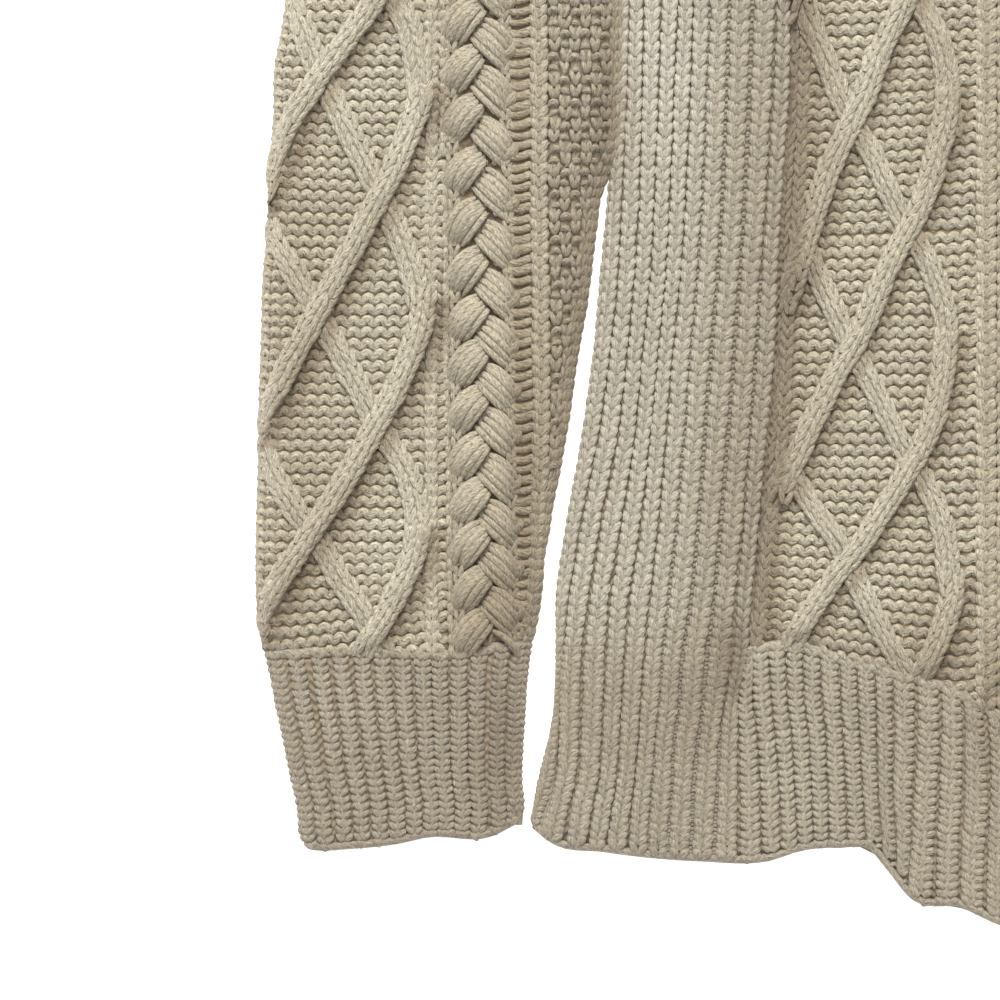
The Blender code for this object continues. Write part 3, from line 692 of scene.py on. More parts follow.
def knit_column(centre, wide, rows, pitch, lift=0.75, size=1.0, crown=None, grow=0.0):
    """Legs of a column of knit stitches. Each pair rises from between the tips of the pair below."""
    ctrl, half, high = [], [], []
    for y, p in zip(rows, pitch):
        w = float(wide(y))
        c0, c1 = float(centre(y + 0.34 * p + 3.6)), float(centre(y - 0.28 * p - 4.2))
        for leg in v_legs(c0, c1, w, y, p, grow):
            ctrl.append(leg)
            half.append(0.218 * w * size)
            rise = [crown(x, yy) if crown else 0.0 for x, yy in leg]
            high.append((rise[0] - 0.15, rise[1] + lift * 1.1, rise[2] + lift * 0.45))
    return ctrl, high, half


def spine(piles, place, centre, wide, low, high, keep, depth=-0.45, mirror=True):
    """Yarn that fills the heart of a knit column, below its legs."""
    ys = np.arange(high, low, 6.0)
    xs = np.array([float(centre(y)) for y in ys])
    ws = np.array([float(wide(y)) for y in ys])
    strands(piles, place, np.stack([xs, ys], 1), depth, ws * 0.40, 0.75, fine_ring=5, rough_ring=4,
            keep=keep, mirror=mirror, thin=3)


P_FRONT = [Pile("front_stitches_a"), Pile("front_stitches_b"), Pile("front_stitches_c")]
P_HEM = [Pile("hem_stitches_a"), Pile("hem_stitches_b"), Pile("hem_stitches_c")]
P_SIDE = [Pile("side_stitches_left_a"), Pile("side_stitches_left_b"), Pile("side_stitches_right")]
P_SLEEVE = [Pile("sleeve_stitches_left_a"), Pile("sleeve_stitches_left_b"), Pile("sleeve_stitches_right")]
P_CUFF = [Pile("cuff_stitches_left_a"), Pile("cuff_stitches_left_b"), Pile("cuff_stitches_right")]
P_NECK = [Pile("neckband_stitches_a"), Pile("neckband_stitches"), Pile("neckband_stitches_c")]

# ------------------------------------------------------------------- side rib
VALLEY_Y = (-900, 0, 100, 200, 280, 360, 440, 520, 600, 660, 700, 740, 780, 820, 850, 900)
VALLEYS = (
    (629.5, 629.5, 627, 622, 618, 609.5, 598, 581, 568, 562, 560, 558, 556, 549, 540, 530),
    (643.5, 643.5, 642, 639.5, 634.5, 627, 618, 601.5, 589, 582, 581.5, 580, 578.5, 569, 565, 560),
    (661.5, 661.5, 658.5, 654.5, 650.5, 642, 635, 622, 609, 606, 604, 602.5, 600, 593, 588, 585),
    (678.5, 678.5, 673.5, 670, 665.5, 657.5, 650, 641.5, 629, 624, 622, 620, 617.5, 611, 606, 603),
    (693.5, 693.5, 690, 685.5, 680.5, 672, 666, 659, 650, 644, 641, 638.5, 635, 630, 628, 626),
    (709.5, 709.5, 706, 702, 697, 689.5, 684, 677, 668, 662, 659, 655, 652.5, 649, 648, 647),
    (729.5, 729.5, 726, 722, 717, 710, 704, 699, 691, 681, 679, 673.5, 672, 669, 668, 667),
    (752.5, 752.5, 749, 744.5, 739.5, 733.5, 728, 721, 714, 706, 704, 698, 694, 692, 690, 689),
    (777.5, 777.5, 773, 767, 761, 756, 750, 744, 736, 733, 725, 719.5, 718, 715, 714, 713),
    (791, 791, 789, 781, 778, 775, 767, 759, 752, 749, 738.5, 738.5, 739, 739, 739, 739),
)
SIDE_PITCH = ((-900, 11.4), (300, 11.4), (500, 10.6), (640, 10.4), (662, 7.6), (900, 7.6))


def valley(index, y):
    """Chart x of a valley of the side rib; below 0 they go on round the fold."""
    i = np.clip(index, 0, 9)
    lo, hi = int(math.floor(i)), int(math.ceil(i))
    a = np.interp(y, VALLEY_Y, VALLEYS[lo])
    b = np.interp(y, VALLEY_Y, VALLEYS[hi])
    x = a + (b - a) * (i - lo)
    x = cell_x(unroll_body(to_x(x), to_y(y)))
    if index < 0:
        x = x + index * 16.0
    return x


def rib_end(y):
    """Distance from the centre line to the last valley of the side rib."""
    low = -to_x(np.interp(cell_y(y), VALLEY_Y, VALLEYS[9]))
    return np.where(y < 84.0, low, rib_x(y))


def side_keep(x, y):
    return (
        (np.abs(x) > rib_end(y) + 0.5)
        & (y > hem_edge(np.clip(np.abs(x), 0, 265.2)) + 1.9)
        & (y < np.interp(np.abs(x), [0, 205, 215, 222, 228, 400], [484, 484, 462, 446, 432, 430]))
    )


rows = row_ladder(858.0, -420.0, SIDE_PITCH)
pitch = np.abs(np.gradient(rows))
edge_shift = lambda x, y: (
    (cell_y(hem_edge(to_x(x))) - 860.0) * ease((y - 640.0) / 200.0)
)
for index in range(-3, 9):
    def centre(y, i=index):
        return (valley(i, y) + valley(i + 1, y)) / 2

    def wide(y, i=index):
        d = valley(i + 1, y) - valley(i, y)
        return d * 1.05 if d < 15 else 15.75 + (d - 15) * 0.70

    spine(P_SIDE, body, centre, wide, 850.0, -410.0, side_keep)
    ctrl, high, half = knit_column(
        centre, wide, rows + SEED.uniform(-1.6, 1.6) + 0.7 * np.sin(rows / 61.0 + index), pitch,
        lift=0.95)
    ctrl = np.array(ctrl)
    ctrl[..., 1] += edge_shift(ctrl[..., 0], ctrl[..., 1])
    loops(P_SIDE, body, ctrl, high, half, 1.0, "drop", fine=(5, 5), rough=(3, 4),
          keep=side_keep, mirror=True, tip=0.5)
# purl bumps in the wide valleys
ctrl, half = [], []
for index in (5, 6, 7, 8):
    for y, p in zip(rows, pitch):
        w = float(valley(min(index, 8) + 1, y) - valley(min(index, 8), y))
        if w < 16.5:
            continue
        for step in (0.0, 0.5):
            x = float(valley(index, y)) + SEED.normal(0, 0.5)
            yy = y + step * p
            ctrl.append(((x - 3.6, yy + 2.0), (x, yy - 2.4), (x + 3.6, yy + 0.8)))
            half.append(2.4)
ctrl = np.array(ctrl)
ctrl[..., 1] += edge_shift(ctrl[..., 0], ctrl[..., 1])
loops(P_SIDE, body, ctrl, (-0.95, -0.3, -0.9), half, 0.65, "bump", fine=(4, 5), rough=(3, 4),
      keep=side_keep, mirror=True)

# -------------------------------------------------------------------- hem rib
HEM_Y = (640, 700, 740, 800, 840, 880, 950)
HEM_VALLEYS = [
    (750, 738.5, 738.5, 739, 739, 739, 739), (752, 752, 757, 760, 761, 762, 762),
    (767, 771, 775, 780, 780, 781, 781), (786, 787, 792, 795, 797, 798, 798),
    (803, 804, 809, 812, 813, 814, 814), (820, 822, 826, 828, 829, 830, 830),
    (839, 841, 843, 846, 847, 848, 848), (857, 858, 860, 863, 866, 867, 867),
    (873, 877, 877, 879, 882, 884, 884), (893, 893, 895, 893, 897, 897, 897),
    (916, 917, 917, 914, 912, 908, 906), (941, 941, 941, 938, 936, 934, 933),
    (963, 963, 965, 964, 961, 960, 959), (984, 984, 989, 991, 988, 986, 985),
]
for _k in range(1, 13):
    _x = 1230.0 - (12 - _k) * 20.1
    _b = 986.0 + (_x - 986.0)
    HEM_VALLEYS.append(tuple(_b for _ in HEM_Y))
HEM_ROWS = 27


def hem_cell(x, share):
    """Chart y in the hem rib, from its lower edge (0) to its top (1)."""
    low, top = cell_y(hem_edge(to_x(x))), cell_y(hem_top(to_x(x)))
    return low + (top - low) * share


def hem_keep(x, y):
    tilt = (hem_edge(x + 1.5) - hem_edge(x - 1.5)) / 3.0
    return ((np.abs(x) < rib_end(y) + 0.5) & (y > hem_edge(x) + 1.7 * np.sqrt(1 + 2.2 * tilt**2))
            & (y < hem_top(x) + 1.5))


for c in range(len(HEM_VALLEYS) - 1):
    ctrl, half = [], []
    guess = (HEM_VALLEYS[c][2] + HEM_VALLEYS[c + 1][2]) / 2
    for r in range(HEM_ROWS + 2):
        share = (r - 0.25) / HEM_ROWS
        y = float(hem_cell(guess, share))
        left, right = (float(np.interp(y, HEM_Y, HEM_VALLEYS[c + k])) for k in (0, 1))
        p = float(hem_cell(guess, share) - hem_cell(guess, share + 1 / HEM_ROWS))
        d = right - left
        w = d * 1.05 if d < 15 else 15.75 + (d - 15) * 0.88
        mid = (left + right) / 2
        for leg in v_legs(mid, mid, w * 1.16, y, p, -2.4):
            slant = float(hem_cell(leg[2][0], share) - hem_cell(mid, share))
            ctrl.append((leg[0], leg[1], (leg[2][0], leg[2][1] + slant)))
            half.append(0.165 * w)
    loops(P_HEM, body, ctrl, (0.0, 0.85, 0.1), half, 0.85, "drop", fine=(4, 5), rough=(3, 4),
          keep=hem_keep, mirror=True, tip=0.6)

for _k in range(len(HEM_VALLEYS) - 1):
    spine(P_HEM, body, lambda y: (np.interp(y, HEM_Y, HEM_VALLEYS[_k]) + np.interp(
        y, HEM_Y, HEM_VALLEYS[_k + 1])) / 2, lambda y: 17.0, 946.0, 630.0, hem_keep, depth=-0.3)
# the picked-up row at its top
top_x = np.arange(746.0, 1236.0, 4.0)
strands(P_HEM, body, np.stack([top_x, cell_y(hem_top(to_x(top_x))) + 0.5], 1), -0.35, 5.5, 1.1,
        mirror=True, thin=2)
# the cast-on edge
edge_x = np.arange(528.0, 1236.0, 4.0)
strands(P_HEM, body, np.stack([edge_x, cell_y(hem_edge(to_x(edge_x))) - 4.2], 1), -0.35, 3.9, 1.0,
        mirror=True, thin=2)

# ------------------------------------------------------------ front: the ground
FRONT_PITCH = ((-900, 11.7), (900, 11.7))


def front_keep(x, y):
    inside = (np.abs(x) < rib_x(y) - 0.3) | (y > SPLIT[1])
    inside &= np.abs(x) < np.where(y > SPLIT[1], arm_x(y) - 1.2, 1e9)
    inside &= y > hem_top(x) + 0.4
    inside &= y < np.where(np.abs(x) < NECK_HALF, neck_y(x) - 1.0, shoulder_y(x) - 0.5)
    return inside


def purl_rows(piles, place, left, right, low, high, pitch, period, keep, slope=None,
              amp=2.5, thick=4.4, mirror=True, step=1.7, thin=2, phase=0.0, lift=0.0):
    """Rows of purl bumps: wavy yarn, high in front at each crest."""
    for r, y in enumerate(row_ladder(low, high, pitch)):
        a, b = float(left(y)), float(right(y))
        if b - a < period:
            continue
        x = np.arange(a, b, step)
        wob = SEED.normal(0, 0.5)
        arc = 2 * math.pi * (x - a) / period + phase + 0.25 * math.sin(r * 1.7)
        wave = np.cos(arc)
        shape = np.sign(wave) * np.abs(wave) ** 0.8
        line_y = y - amp * shape + wob * 0.6
        if slope is not None:
            line_y = line_y + slope(x, y)
        tall = 1.05 + 0.15 * wave
        grow = 1 + 0.06 * np.sin(x * 0.21 + r) * np.sin(x * 0.083 + 2.3 * r)
        strands(piles, place, np.stack([x, line_y], 1), -0.25 + 0.5 * wave + lift,
                thick * (1 + 0.10 * wave) * grow, tall, keep=keep, mirror=mirror, thin=thin)


# painted shade in the trough by the side rib
SHADE_LINES.append(("front", (-900, 0, 100, 200, 300, 450, 600, 690),
                    (700, 794, 792, 789, 785, 774, 762, 755), 16.5, 1.4))


def moved(path, dy):
    return [(x, y + dy) for x, y in path]


F2 = [(948, 85), (946, 110), (943, 130), (937, 152), (931, 175), (923, 200), (912, 222), (900, 242),
      (890, 262), (880, 285), (872, 305), (862, 328), (850, 350), (836, 375), (823, 400), (811, 425),
      (800, 450), (788, 475), (778, 495)]
F1 = [(948, -150), (946, -125), (943, -105), (937, -83), (931, -60), (923, -35), (914, -15), (905, 0),
      (893, 25), (880, 50), (871, 75), (862, 100), (851, 125), (838, 150), (827, 175), (819, 200),
      (810, 225), (803, 250), (797, 270), (790, 292), (785, 305)]
F3 = [(946, 330), (944, 355), (941, 380), (936, 405), (930, 428), (920, 450), (908, 468), (897, 488),
      (886, 505), (873, 525), (858, 548), (838, 573), (820, 598), (803, 622), (793, 643), (789, 656)]
F4 = [(952, 575), (951, 600), (944, 622), (937, 643), (928, 662), (918, 682)]
K2 = [(801, -8), (810, 22), (818, 42), (826, 60), (833, 78), (841, 100), (852, 120), (863, 137),
      (872, 155), (881, 175), (890, 195), (899, 213), (909, 230), (919, 246), (929, 265), (937, 285),
      (943, 305), (946, 335)]
K3 = [(800, 235), (808, 255), (818, 275), (828, 298), (838, 320), (849, 343), (860, 363), (870, 383),
      (880, 402), (891, 424), (902, 445), (912, 462), (923, 480), (934, 500), (941, 522), (946, 550),
      (949, 580), (952, 602)]
K1 = [(800, -240), (818, -200), (838, -155), (860, -112), (880, -73), (893, -45), (903, -22), (912, -6),
      (922, 10), (932, 27), (941, 48), (946, 72), (948, 98)]
K4 = [(787, 465), (797, 480), (808, 500), (820, 518), (831, 532), (843, 550), (851, 568), (858, 585),
      (867, 605), (877, 622), (887, 640), (898, 658), (909, 676), (914, 688)]

# painted shadow on the lower right of each raised strand
for path in (F1, F2, F3, F4):
    q = sorted(path, key=lambda c: c[1])
    SHADE_LINES.append(("front", [c[1] + 6 for c in q], [c[0] + 16 for c in q], 9.0, 0.68))


def body_left(y):
    return np.interp(y, (-900, -420, -324, -219, -100, 0, 280, 440, 520, 600, 650, 700),
                     (640, 660, 717, 753, 780, 806, 790, 783, 774, 766, 760, 758))


def body_slope(x, y):
    """Rows of the front rise or fall a little across it."""
    k = np.interp(y, (-200, 0, 150, 300, 450, 550, 650, 720), (0, -0.05, -0.07, -0.02, 0.0, 0.06, 0.15, 0.2))
    return k * np.clip(x - 870.0, -110, 90) - 2.5 * ease((x - 955.0) / 16.0)


purl_rows(P_FRONT, body, body_left, lambda y: 982, 720.0, -900.0, FRONT_PITCH, 13.5, front_keep,
          slope=body_slope)


def plain_rows(low, high, pitch):
    rows = row_ladder(low, high, ((-900, pitch), (900, pitch)))
    return rows, np.full(len(rows), pitch)


def ridge(piles, place, x, wide, low, high, keep, lift=0.9, pitch=11.5, mirror=True, size=1.0,
          sink=0.0):
    """A knit column."""
    rows, p = plain_rows(low, high, pitch)
    crown = (lambda a, b: -sink) if sink else None
    spine(piles, place, x, lambda y: wide, low, high, keep, depth=-0.45 - sink, mirror=mirror)
    ctrl, high_, half = knit_column(x, lambda y: wide, rows, p, lift=lift, size=size, crown=crown)
    loops(piles, place, ctrl, high_, half, 1.1, "drop", fine=(5, 6), rough=(3, 4), keep=keep,
          mirror=mirror, tip=0.5)


def rungs(piles, place, shape, low, high, keep, pitch=11.5, half=4.0, mirror=True, at=None):
    """Bars of yarn one over the other: shape holds x, rise of the line, height."""
    xs, dy, hz = (np.array(c, float) for c in zip(*shape))
    fine = np.linspace(0, len(xs) - 1, 13)
    k = np.arange(len(xs))
    xs, dy, hz = np.interp(fine, k, xs), np.interp(fine, k, dy), np.interp(fine, k, hz)
    for y in plain_rows(low, high, pitch)[0]:
        move = float(at(y)) if at else 0.0
        wob, tip_ = SEED.normal(0, 0.8), SEED.normal(0, 0.06)
        strands(piles, place, np.stack([xs + move, y + dy + wob + tip_ * (xs - xs.mean())], 1),
                hz + SEED.normal(0, 0.12), half * SEED.normal(1, 0.11), 1.05, keep=keep, mirror=mirror, thin=3)


# ------------------------------------------------------------- lattice strands
def cable(piles, place, path, keep, over=0.4, core=2.2, half=13.5, mirror=True, pitch=11.4,
          under=(), size=1.12, fade=None):
    """A raised strand: two knit columns side by side on a round core. path runs down the chart."""
    path = sorted(path, key=lambda q: q[1])
    table = [(y, x) for x, y in path]
    top, low = table[0][0], table[-1][0]

    def line(y):
        return smooth(table, y)

    def rise(y):
        k = np.ones(np.shape(y))
        for yc in under:
            k = k - 0.55 * np.exp(-(((y - yc) / 15.0) ** 2))
        return k

    def sunk(x, y):
        return fade(x, y) if fade else np.ones(np.shape(y))

    def crown(x, y):
        off = np.clip(np.abs(x - line(y)) / (half * 1.04), 0, 1)
        return (over + core * np.sqrt(1 - off**2)) * rise(y) * sunk(x, y) - 0.35

    ys = np.arange(top, low, 3.0)
    xs = line(ys)
    slope = np.gradient(xs, ys)
    thin = half * 0.96 / np.sqrt(1 + slope**2)
    strands(piles, place, np.stack([xs, ys], 1), over * rise(ys) * sunk(xs, ys) - 0.5, thin,
            0.35 + (core + 0.05) * rise(ys) * sunk(xs, ys), fine_ring=8, rough_ring=5, keep=keep, mirror=mirror, thin=3)
    rows = row_ladder(low, top, ((-2000, pitch), (2000, pitch)))
    for side in (-1, 1):
        ctrl, high, halfs = knit_column(
            lambda y: line(y) + side * half * 0.50, lambda y: half * 1.02, rows + side * 1.5,
            np.full(len(rows), pitch), lift=0.34, size=size, crown=crown, grow=0.7)
        loops(piles, place, ctrl, high, halfs, 1.0, "drop", fine=(5, 6), rough=(3, 4), keep=keep,
              mirror=mirror, tip=0.35, jitter=0.5)


def trough_fade(x, y):
    """A strand sinks where it runs into the trough by the side rib."""
    side = 0.12 + 0.88 * ease((x - np.interp(y, VALLEY_Y, VALLEYS[9]) - 6.0) / 17.0)
    return side * (0.15 + 0.85 * ease((cell_y(hem_top(to_x(x))) - 2.0 - y) / 16.0))


BODY_UNDER = ((K1, (-115, -5)), (K2, (118, 222)), (K3, (345, 458)), (K4, (555, 668)))
for path, under in BODY_UNDER:
    cable(P_FRONT, body, path, front_keep, over=0.2, core=2.3, half=12.5, under=under,
          fade=trough_fade)
for path in (F1, F2, F3, F4):
    cable(P_FRONT, body, path, front_keep, over=0.7, core=3.3, half=13.0, fade=trough_fade)
for k in range(2, 5):
    path = [(800 - 27 * (k - 1), 230 - 235 * k - 60 * (k - 1)),
            (800 - 13.5 * (k - 1), 230 - 235 * k - 30 * (k - 1))] + moved(K3, -235 * k - 5)
    cable(P_FRONT, body, path, front_keep, over=0.3, core=1.7, half=12.5,
          under=(345 - 235 * k, 458 - 235 * k))
for k in range(2, 5):
    path = moved(F2, -235 * k) + [(778 - 13 * n, 495 - 235 * k + 26 * n) for n in range(1, k - 1)]
    cable(P_FRONT, body, path, front_keep, over=1.0, core=2.3)

# the knit column half hidden in the trough by the side rib
TROUGH_LINE = ((-900, 800), (-420, 668), (-324, 722), (-219, 758), (-100, 785), (0, 808), (50, 806),
               (100, 803), (150, 801), (200, 799), (240, 797), (300, 790), (350, 788), (420, 784),
               (475, 779), (520, 772), (560, 766), (600, 762), (640, 757), (700, 750))
ridge(P_FRONT, body, lambda y: np.interp(y, *zip(*TROUGH_LINE)), 13.0, 652, -330, front_keep,
      lift=0.5, size=1.1)

ridge(P_FRONT, body, lambda y: np.interp(y, VALLEY_Y, VALLEYS[9]) + 5.0, 12.5, 700, -330, front_keep,
      lift=0.3, size=1.05, sink=0.55)
# the armhole seam: one round of stitches drawn into the groove between body and sleeve
_t = np.linspace(0.02, 0.995, 110)
_x, _y = armhole_curve(_t)
_seam = np.stack([cell_x(_x) + 1.2 * np.sin(_t * 240), cell_y(_y)], 1)
strands(P_FRONT, body, _seam, -0.1, 6.0 + 0.5 * np.sin(_t * 190), 1.5, mirror=True)
# --------------------------------------------- columns beside the body's lattice
BAR = ((948, 1, -0.9), (955, 3.5, -0.2), (962, 3.0, 0.05), (969, -0.5, 0.3), (974.5, -4.2, 0.45),
       (979, -3, -0.2), (983, 1, -0.9))
ridge(P_FRONT, body, lambda y: 986.5, 24.0, 716, -900, front_keep, lift=1.0)


def braid(piles, place, mid, low, high, keep, period=48.5, mirror=True, lobes=()):
    """A three-strand plait, its centre on mid: lobes lie up and over from both sides."""
    for c in (-2, 0, 2):  # the stitches between the lobes
        rows, p = plain_rows(low, high, 11.4)
        ctrl, high_, half = knit_column(
            lambda y: mid(y) + c * 13.4, lambda y: 13.4, rows, p, lift=0.3,
            crown=lambda a, b: -0.35)
        loops(piles, place, ctrl, high_, half, 1.0, "drop", fine=(4, 5), rough=(3, 4), keep=keep,
              mirror=mirror, tip=0.4)
    edge = []
    starts = list(lobes) or [low]
    while starts[-1] > high:
        starts.append(starts[-1] - period)
    for y in starts:
        m = float(mid(y))
        ctrl, high_, half = [], [], []
        for i in range(5):  # the left lobe, over to the right
            k_ = i / 4.0
            foot = (m - 34 + 15 * k_, y + 27 + 5 * k_)
            knee = (m - 34 + 27 * k_, y - 3 + 16 * k_)
            head = (m - 5 + 11 * k_, y - 16 + 14 * k_)
            ctrl.append((foot, knee, head))
            dome = (0.68, 0.92, 1.0, 0.92, 0.64)[i]
            high_.append((-0.6, 7.4 * dome, 0.9 + 0.8 * dome))
            half.append(4.3)
        loops(piles, place, ctrl, high_, half, 1.25, "long", fine=(8, 6), rough=(4, 4),
              keep=keep, mirror=mirror, jitter=0.6, tip=1.3)
        ctrl, high_, half = [], [], []
        for i in range(5):  # the right lobe, out from under it
            k_ = i / 4.0
            foot = (m + 4 - 11 * k_, y + 6 + 18 * k_)
            knee = (m + 26 - 17 * k_, y + 14 + 26 * k_)
            head = (m + 34 - 8 * k_, y + 38 + 18 * k_)
            ctrl.append((foot, knee, head))
            dome = (0.64, 0.92, 1.0, 0.92, 0.66)[i]
            high_.append((-0.2, 5.6 * dome, 0.0))
            half.append(4.3)
        loops(piles, place, ctrl, high_, half, 1.2, "long", fine=(8, 6), rough=(4, 4),
              keep=keep, mirror=mirror, jitter=0.6, tip=0.7)
        ctrl, high_, half = [], [], []
        for i in range(3):  # loops that turn back at the right edge
            ctrl.append(((m + 24 + 3.5 * i, y - 3 - 1.0 * i), (m + 31 + 2.5 * i, y - 7), (m + 32 + 2.0 * i, y - 16 - 1.5 * i)))
            ctrl.append(((m + 13 + 5.5 * i, y + 2 - 2.5 * i), (m + 17 + 5.5 * i, y - 3 - 2.5 * i), (m + 19 + 5.5 * i, y - 11 - 2.5 * i)))
            high_ += [(-0.4, 1.5, 0.9), (-0.4, 1.3, 0.8)]
        loops(piles, place, ctrl, high_, 3.6, 1.0, "drop", fine=(6, 6), rough=(3, 4),
              keep=keep, mirror=mirror, tip=0.5)
        for j in range(4):
            yy = y + 44 - 12.1 * j
            edge.append(((m - 33, yy + 3), (m - 36.5, yy - 3), (m - 35.5, yy - 11)))
    loops(piles, place, edge, (-0.5, 0.9, 0.5), 3.5, 1.0, "drop", fine=(6, 6), rough=(3, 4),
          keep=keep, mirror=mirror, tip=0.4)


def moss(piles, place, left, right, low, high, keep, mirror=True, cell=10.4, pitch=22.8):
    """Double moss stitch: pairs of legs over two rows, and purl bumps, by turns."""
    arch, lower, legs = [], [], []
    ys = np.arange(high, low, 7.0)
    most = max(int((float(right(y)) - float(left(y))) / cell) for y in (low, (low + high) / 2, high))
    for k in range(most + 1):
        xs = np.array([float(left(y)) + k * cell for y in ys])
        inside = xs < np.array([float(right(y)) for y in ys]) + 2
        if inside.sum() > 4:
            strands(piles, place, np.stack([xs[inside], ys[inside]], 1), -0.85, 4.6, 0.8,
                    fine_ring=5, keep=keep, mirror=mirror, thin=4)
    for r, y in enumerate(plain_rows(low, high, pitch)[0]):
        a, b = float(left(y)), float(right(y))
        for k in range(int((b - a) / cell) + 1):
            x = a + k * cell
            if (k + r) % 2 == 0:
                arch.append(((x - 4.8, y - 0.5), (x + SEED.normal(0, 1.2), y - 11.5), (x + 4.8, y - 1.5)))
                lower.append(((x - 4.6, y + 9.5), (x + SEED.normal(0, 1.2), y + 2.5), (x + 4.6, y + 9.5)))
            else:
                for yy in (y + 5.6, y - 5.8):
                    legs += v_legs(x, x, 12.2, yy, 9.0)
    loops(piles, place, arch, (-0.7, 3.6, -0.7), 3.9, 1.1, "bump", fine=(6, 6), rough=(3, 4),
          keep=keep, mirror=mirror, jitter=0.8)
    loops(piles, place, lower, (-0.8, 1.6, -0.8), 3.3, 0.9, "bump", fine=(5, 6), rough=(3, 4),
          keep=keep, mirror=mirror, jitter=0.8)
    loops(piles, place, legs, (-0.2, 1.5, 0.5), 2.8, 1.0, "drop", fine=(5, 6), rough=(3, 4),
          keep=keep, mirror=mirror, jitter=0.7, tip=0.4)


braid(P_FRONT, body, lambda y: 1035.0, 712, -900, front_keep)
BAR2 = tuple((x + 124, dy, h) for x, dy, h in BAR)
rungs(P_FRONT, body, BAR2, 725, -900, front_keep)
ridge(P_FRONT, body, lambda y: 1111.0, 20.0, 732, -900, front_keep)
moss(P_FRONT, body, lambda y: 1126.5, lambda y: 1229.0, 740, -900, front_keep)

# -------------------------------------------------------------------- the sleeve


def sleeve_cell(x, y):
    """Chart x on the face of the sleeve, unrolled round its folds."""
    return cell_x(unroll_sleeve(to_x(x), to_y(np.maximum(y, -0.5))))


def sleeve_keep(x, y):
    top = to_y(np.interp(cell_x(-np.abs(x)), *zip(*CUFF_TOP)))
    return (y > top) & (y < SLEEVE_END - 1.0)


SL_TOP = cell_y(SLEEVE_END)


def edge_out(y):
    return np.interp(np.maximum(y, 0.0), _t0, _o0)


def edge_in(y):
    return np.interp(np.maximum(y, 0.0), _t1, _i0)


S1 = [(424, -140), (419, -115), (411, -95), (404, -75), (396, -50), (386, -22), (375, 0), (362, 20),
      (347, 40), (333, 60), (317, 80), (305, 100), (292, 120), (283, 140), (276, 160), (258, 190),
      (250, 206)]
S2 = [(421, 85), (420, 105), (413, 122), (406, 140), (398, 160), (389, 180), (378, 200), (367, 220),
      (358, 240), (345, 262), (330, 290), (314, 320), (297, 350), (281, 383), (270, 405), (254, 425),
      (248, 438)]
S3 = [(424, 298), (421, 325), (412, 350), (400, 380), (388, 405), (373, 430), (358, 458), (345, 480),
      (333, 500), (320, 520), (307, 540), (293, 560), (280, 580), (270, 602), (254, 625), (248, 640)]
S4 = [(418, 525), (416, 545), (411, 562), (403, 580), (393, 600), (383, 620), (372, 636), (362, 648)]
B0 = [(372, -40), (385, -20), (396, 0), (406, 20), (413, 42), (418, 68), (420, 98)]
B1 = [(252, -40), (276, -18), (293, 0), (300, 20), (309, 45), (318, 70), (329, 92), (339, 112),
      (347, 128), (356, 147), (366, 167), (377, 190), (387, 208), (396, 228), (405, 250), (413, 275),
      (420, 303)]
B2 = [(248, 200), (262, 222), (276, 242), (290, 264), (302, 286), (315, 310), (328, 332), (342, 357),
      (357, 385), (370, 412), (380, 430), (392, 448), (404, 468), (413, 492), (417, 515), (418, 540)]
B3 = [(246, 428), (262, 452), (276, 478), (290, 500), (303, 522), (317, 541), (331, 562), (342, 582),
      (356, 602), (368, 622), (378, 640), (386, 652)]


# painted shade over the ladder column and along the sleeve's inner edge
SHADE_LINES.append(("sleeve", (-900, 0, 300, 500, 650), (520, 520, 519, 524, 526), 10.0, 0.50))
SHADE_LINES.append(("sleeve", (0, 60, 140, 200, 400, 640), (612, 610, 606, 598, 569, 541), 12.0, 0.34))
# painted shadow on the lower right of each raised strand
for path in (S1, S2, S3, S4):
    q = sorted(path, key=lambda c: c[1])
    SHADE_LINES.append(("sleeve", [c[1] + 6 for c in q], [c[0] + 17 for c in q], 11.0, 0.85))


def sleeve_slope(x, y):
    k = np.interp(y, (-100, 120, 190, 260, 560, 600, 640), (0.0, 0.0, 0.06, 0.0, 0.0, -0.08, -0.14))
    return k * np.clip(x - 340.0, -80, 80)


purl_rows(P_SLEEVE, sleeve, lambda y: edge_out(y) - 30, lambda y: 449, 672.0, SL_TOP,
          ((-900, 11.3), (900, 11.3)), 13.4, sleeve_keep, slope=sleeve_slope)

for _k in (8, 13, 18, 23):
    _y = np.arange(SL_TOP, 668.0, 7.0)
    strands(P_SLEEVE, sleeve, np.stack([edge_out(_y) - _k, _y], 1), -0.05, 5.0, 0.85, fine_ring=5,
            keep=sleeve_keep, mirror=True, thin=2)


def on_sleeve(path):
    return [
        (float(sleeve_cell(x, y)) if x > edge_out(y) + 1.5 else float(x), y) for x, y in path
    ]


def fold_fade(x, y):
    """A strand is squeezed flat where it goes round the sleeve's outer fold."""
    side = 0.05 + 0.95 * ease((x - edge_out(y) + 3.0) / 24.0)
    return side * (0.15 + 0.85 * ease((652.0 - y) / 16.0))


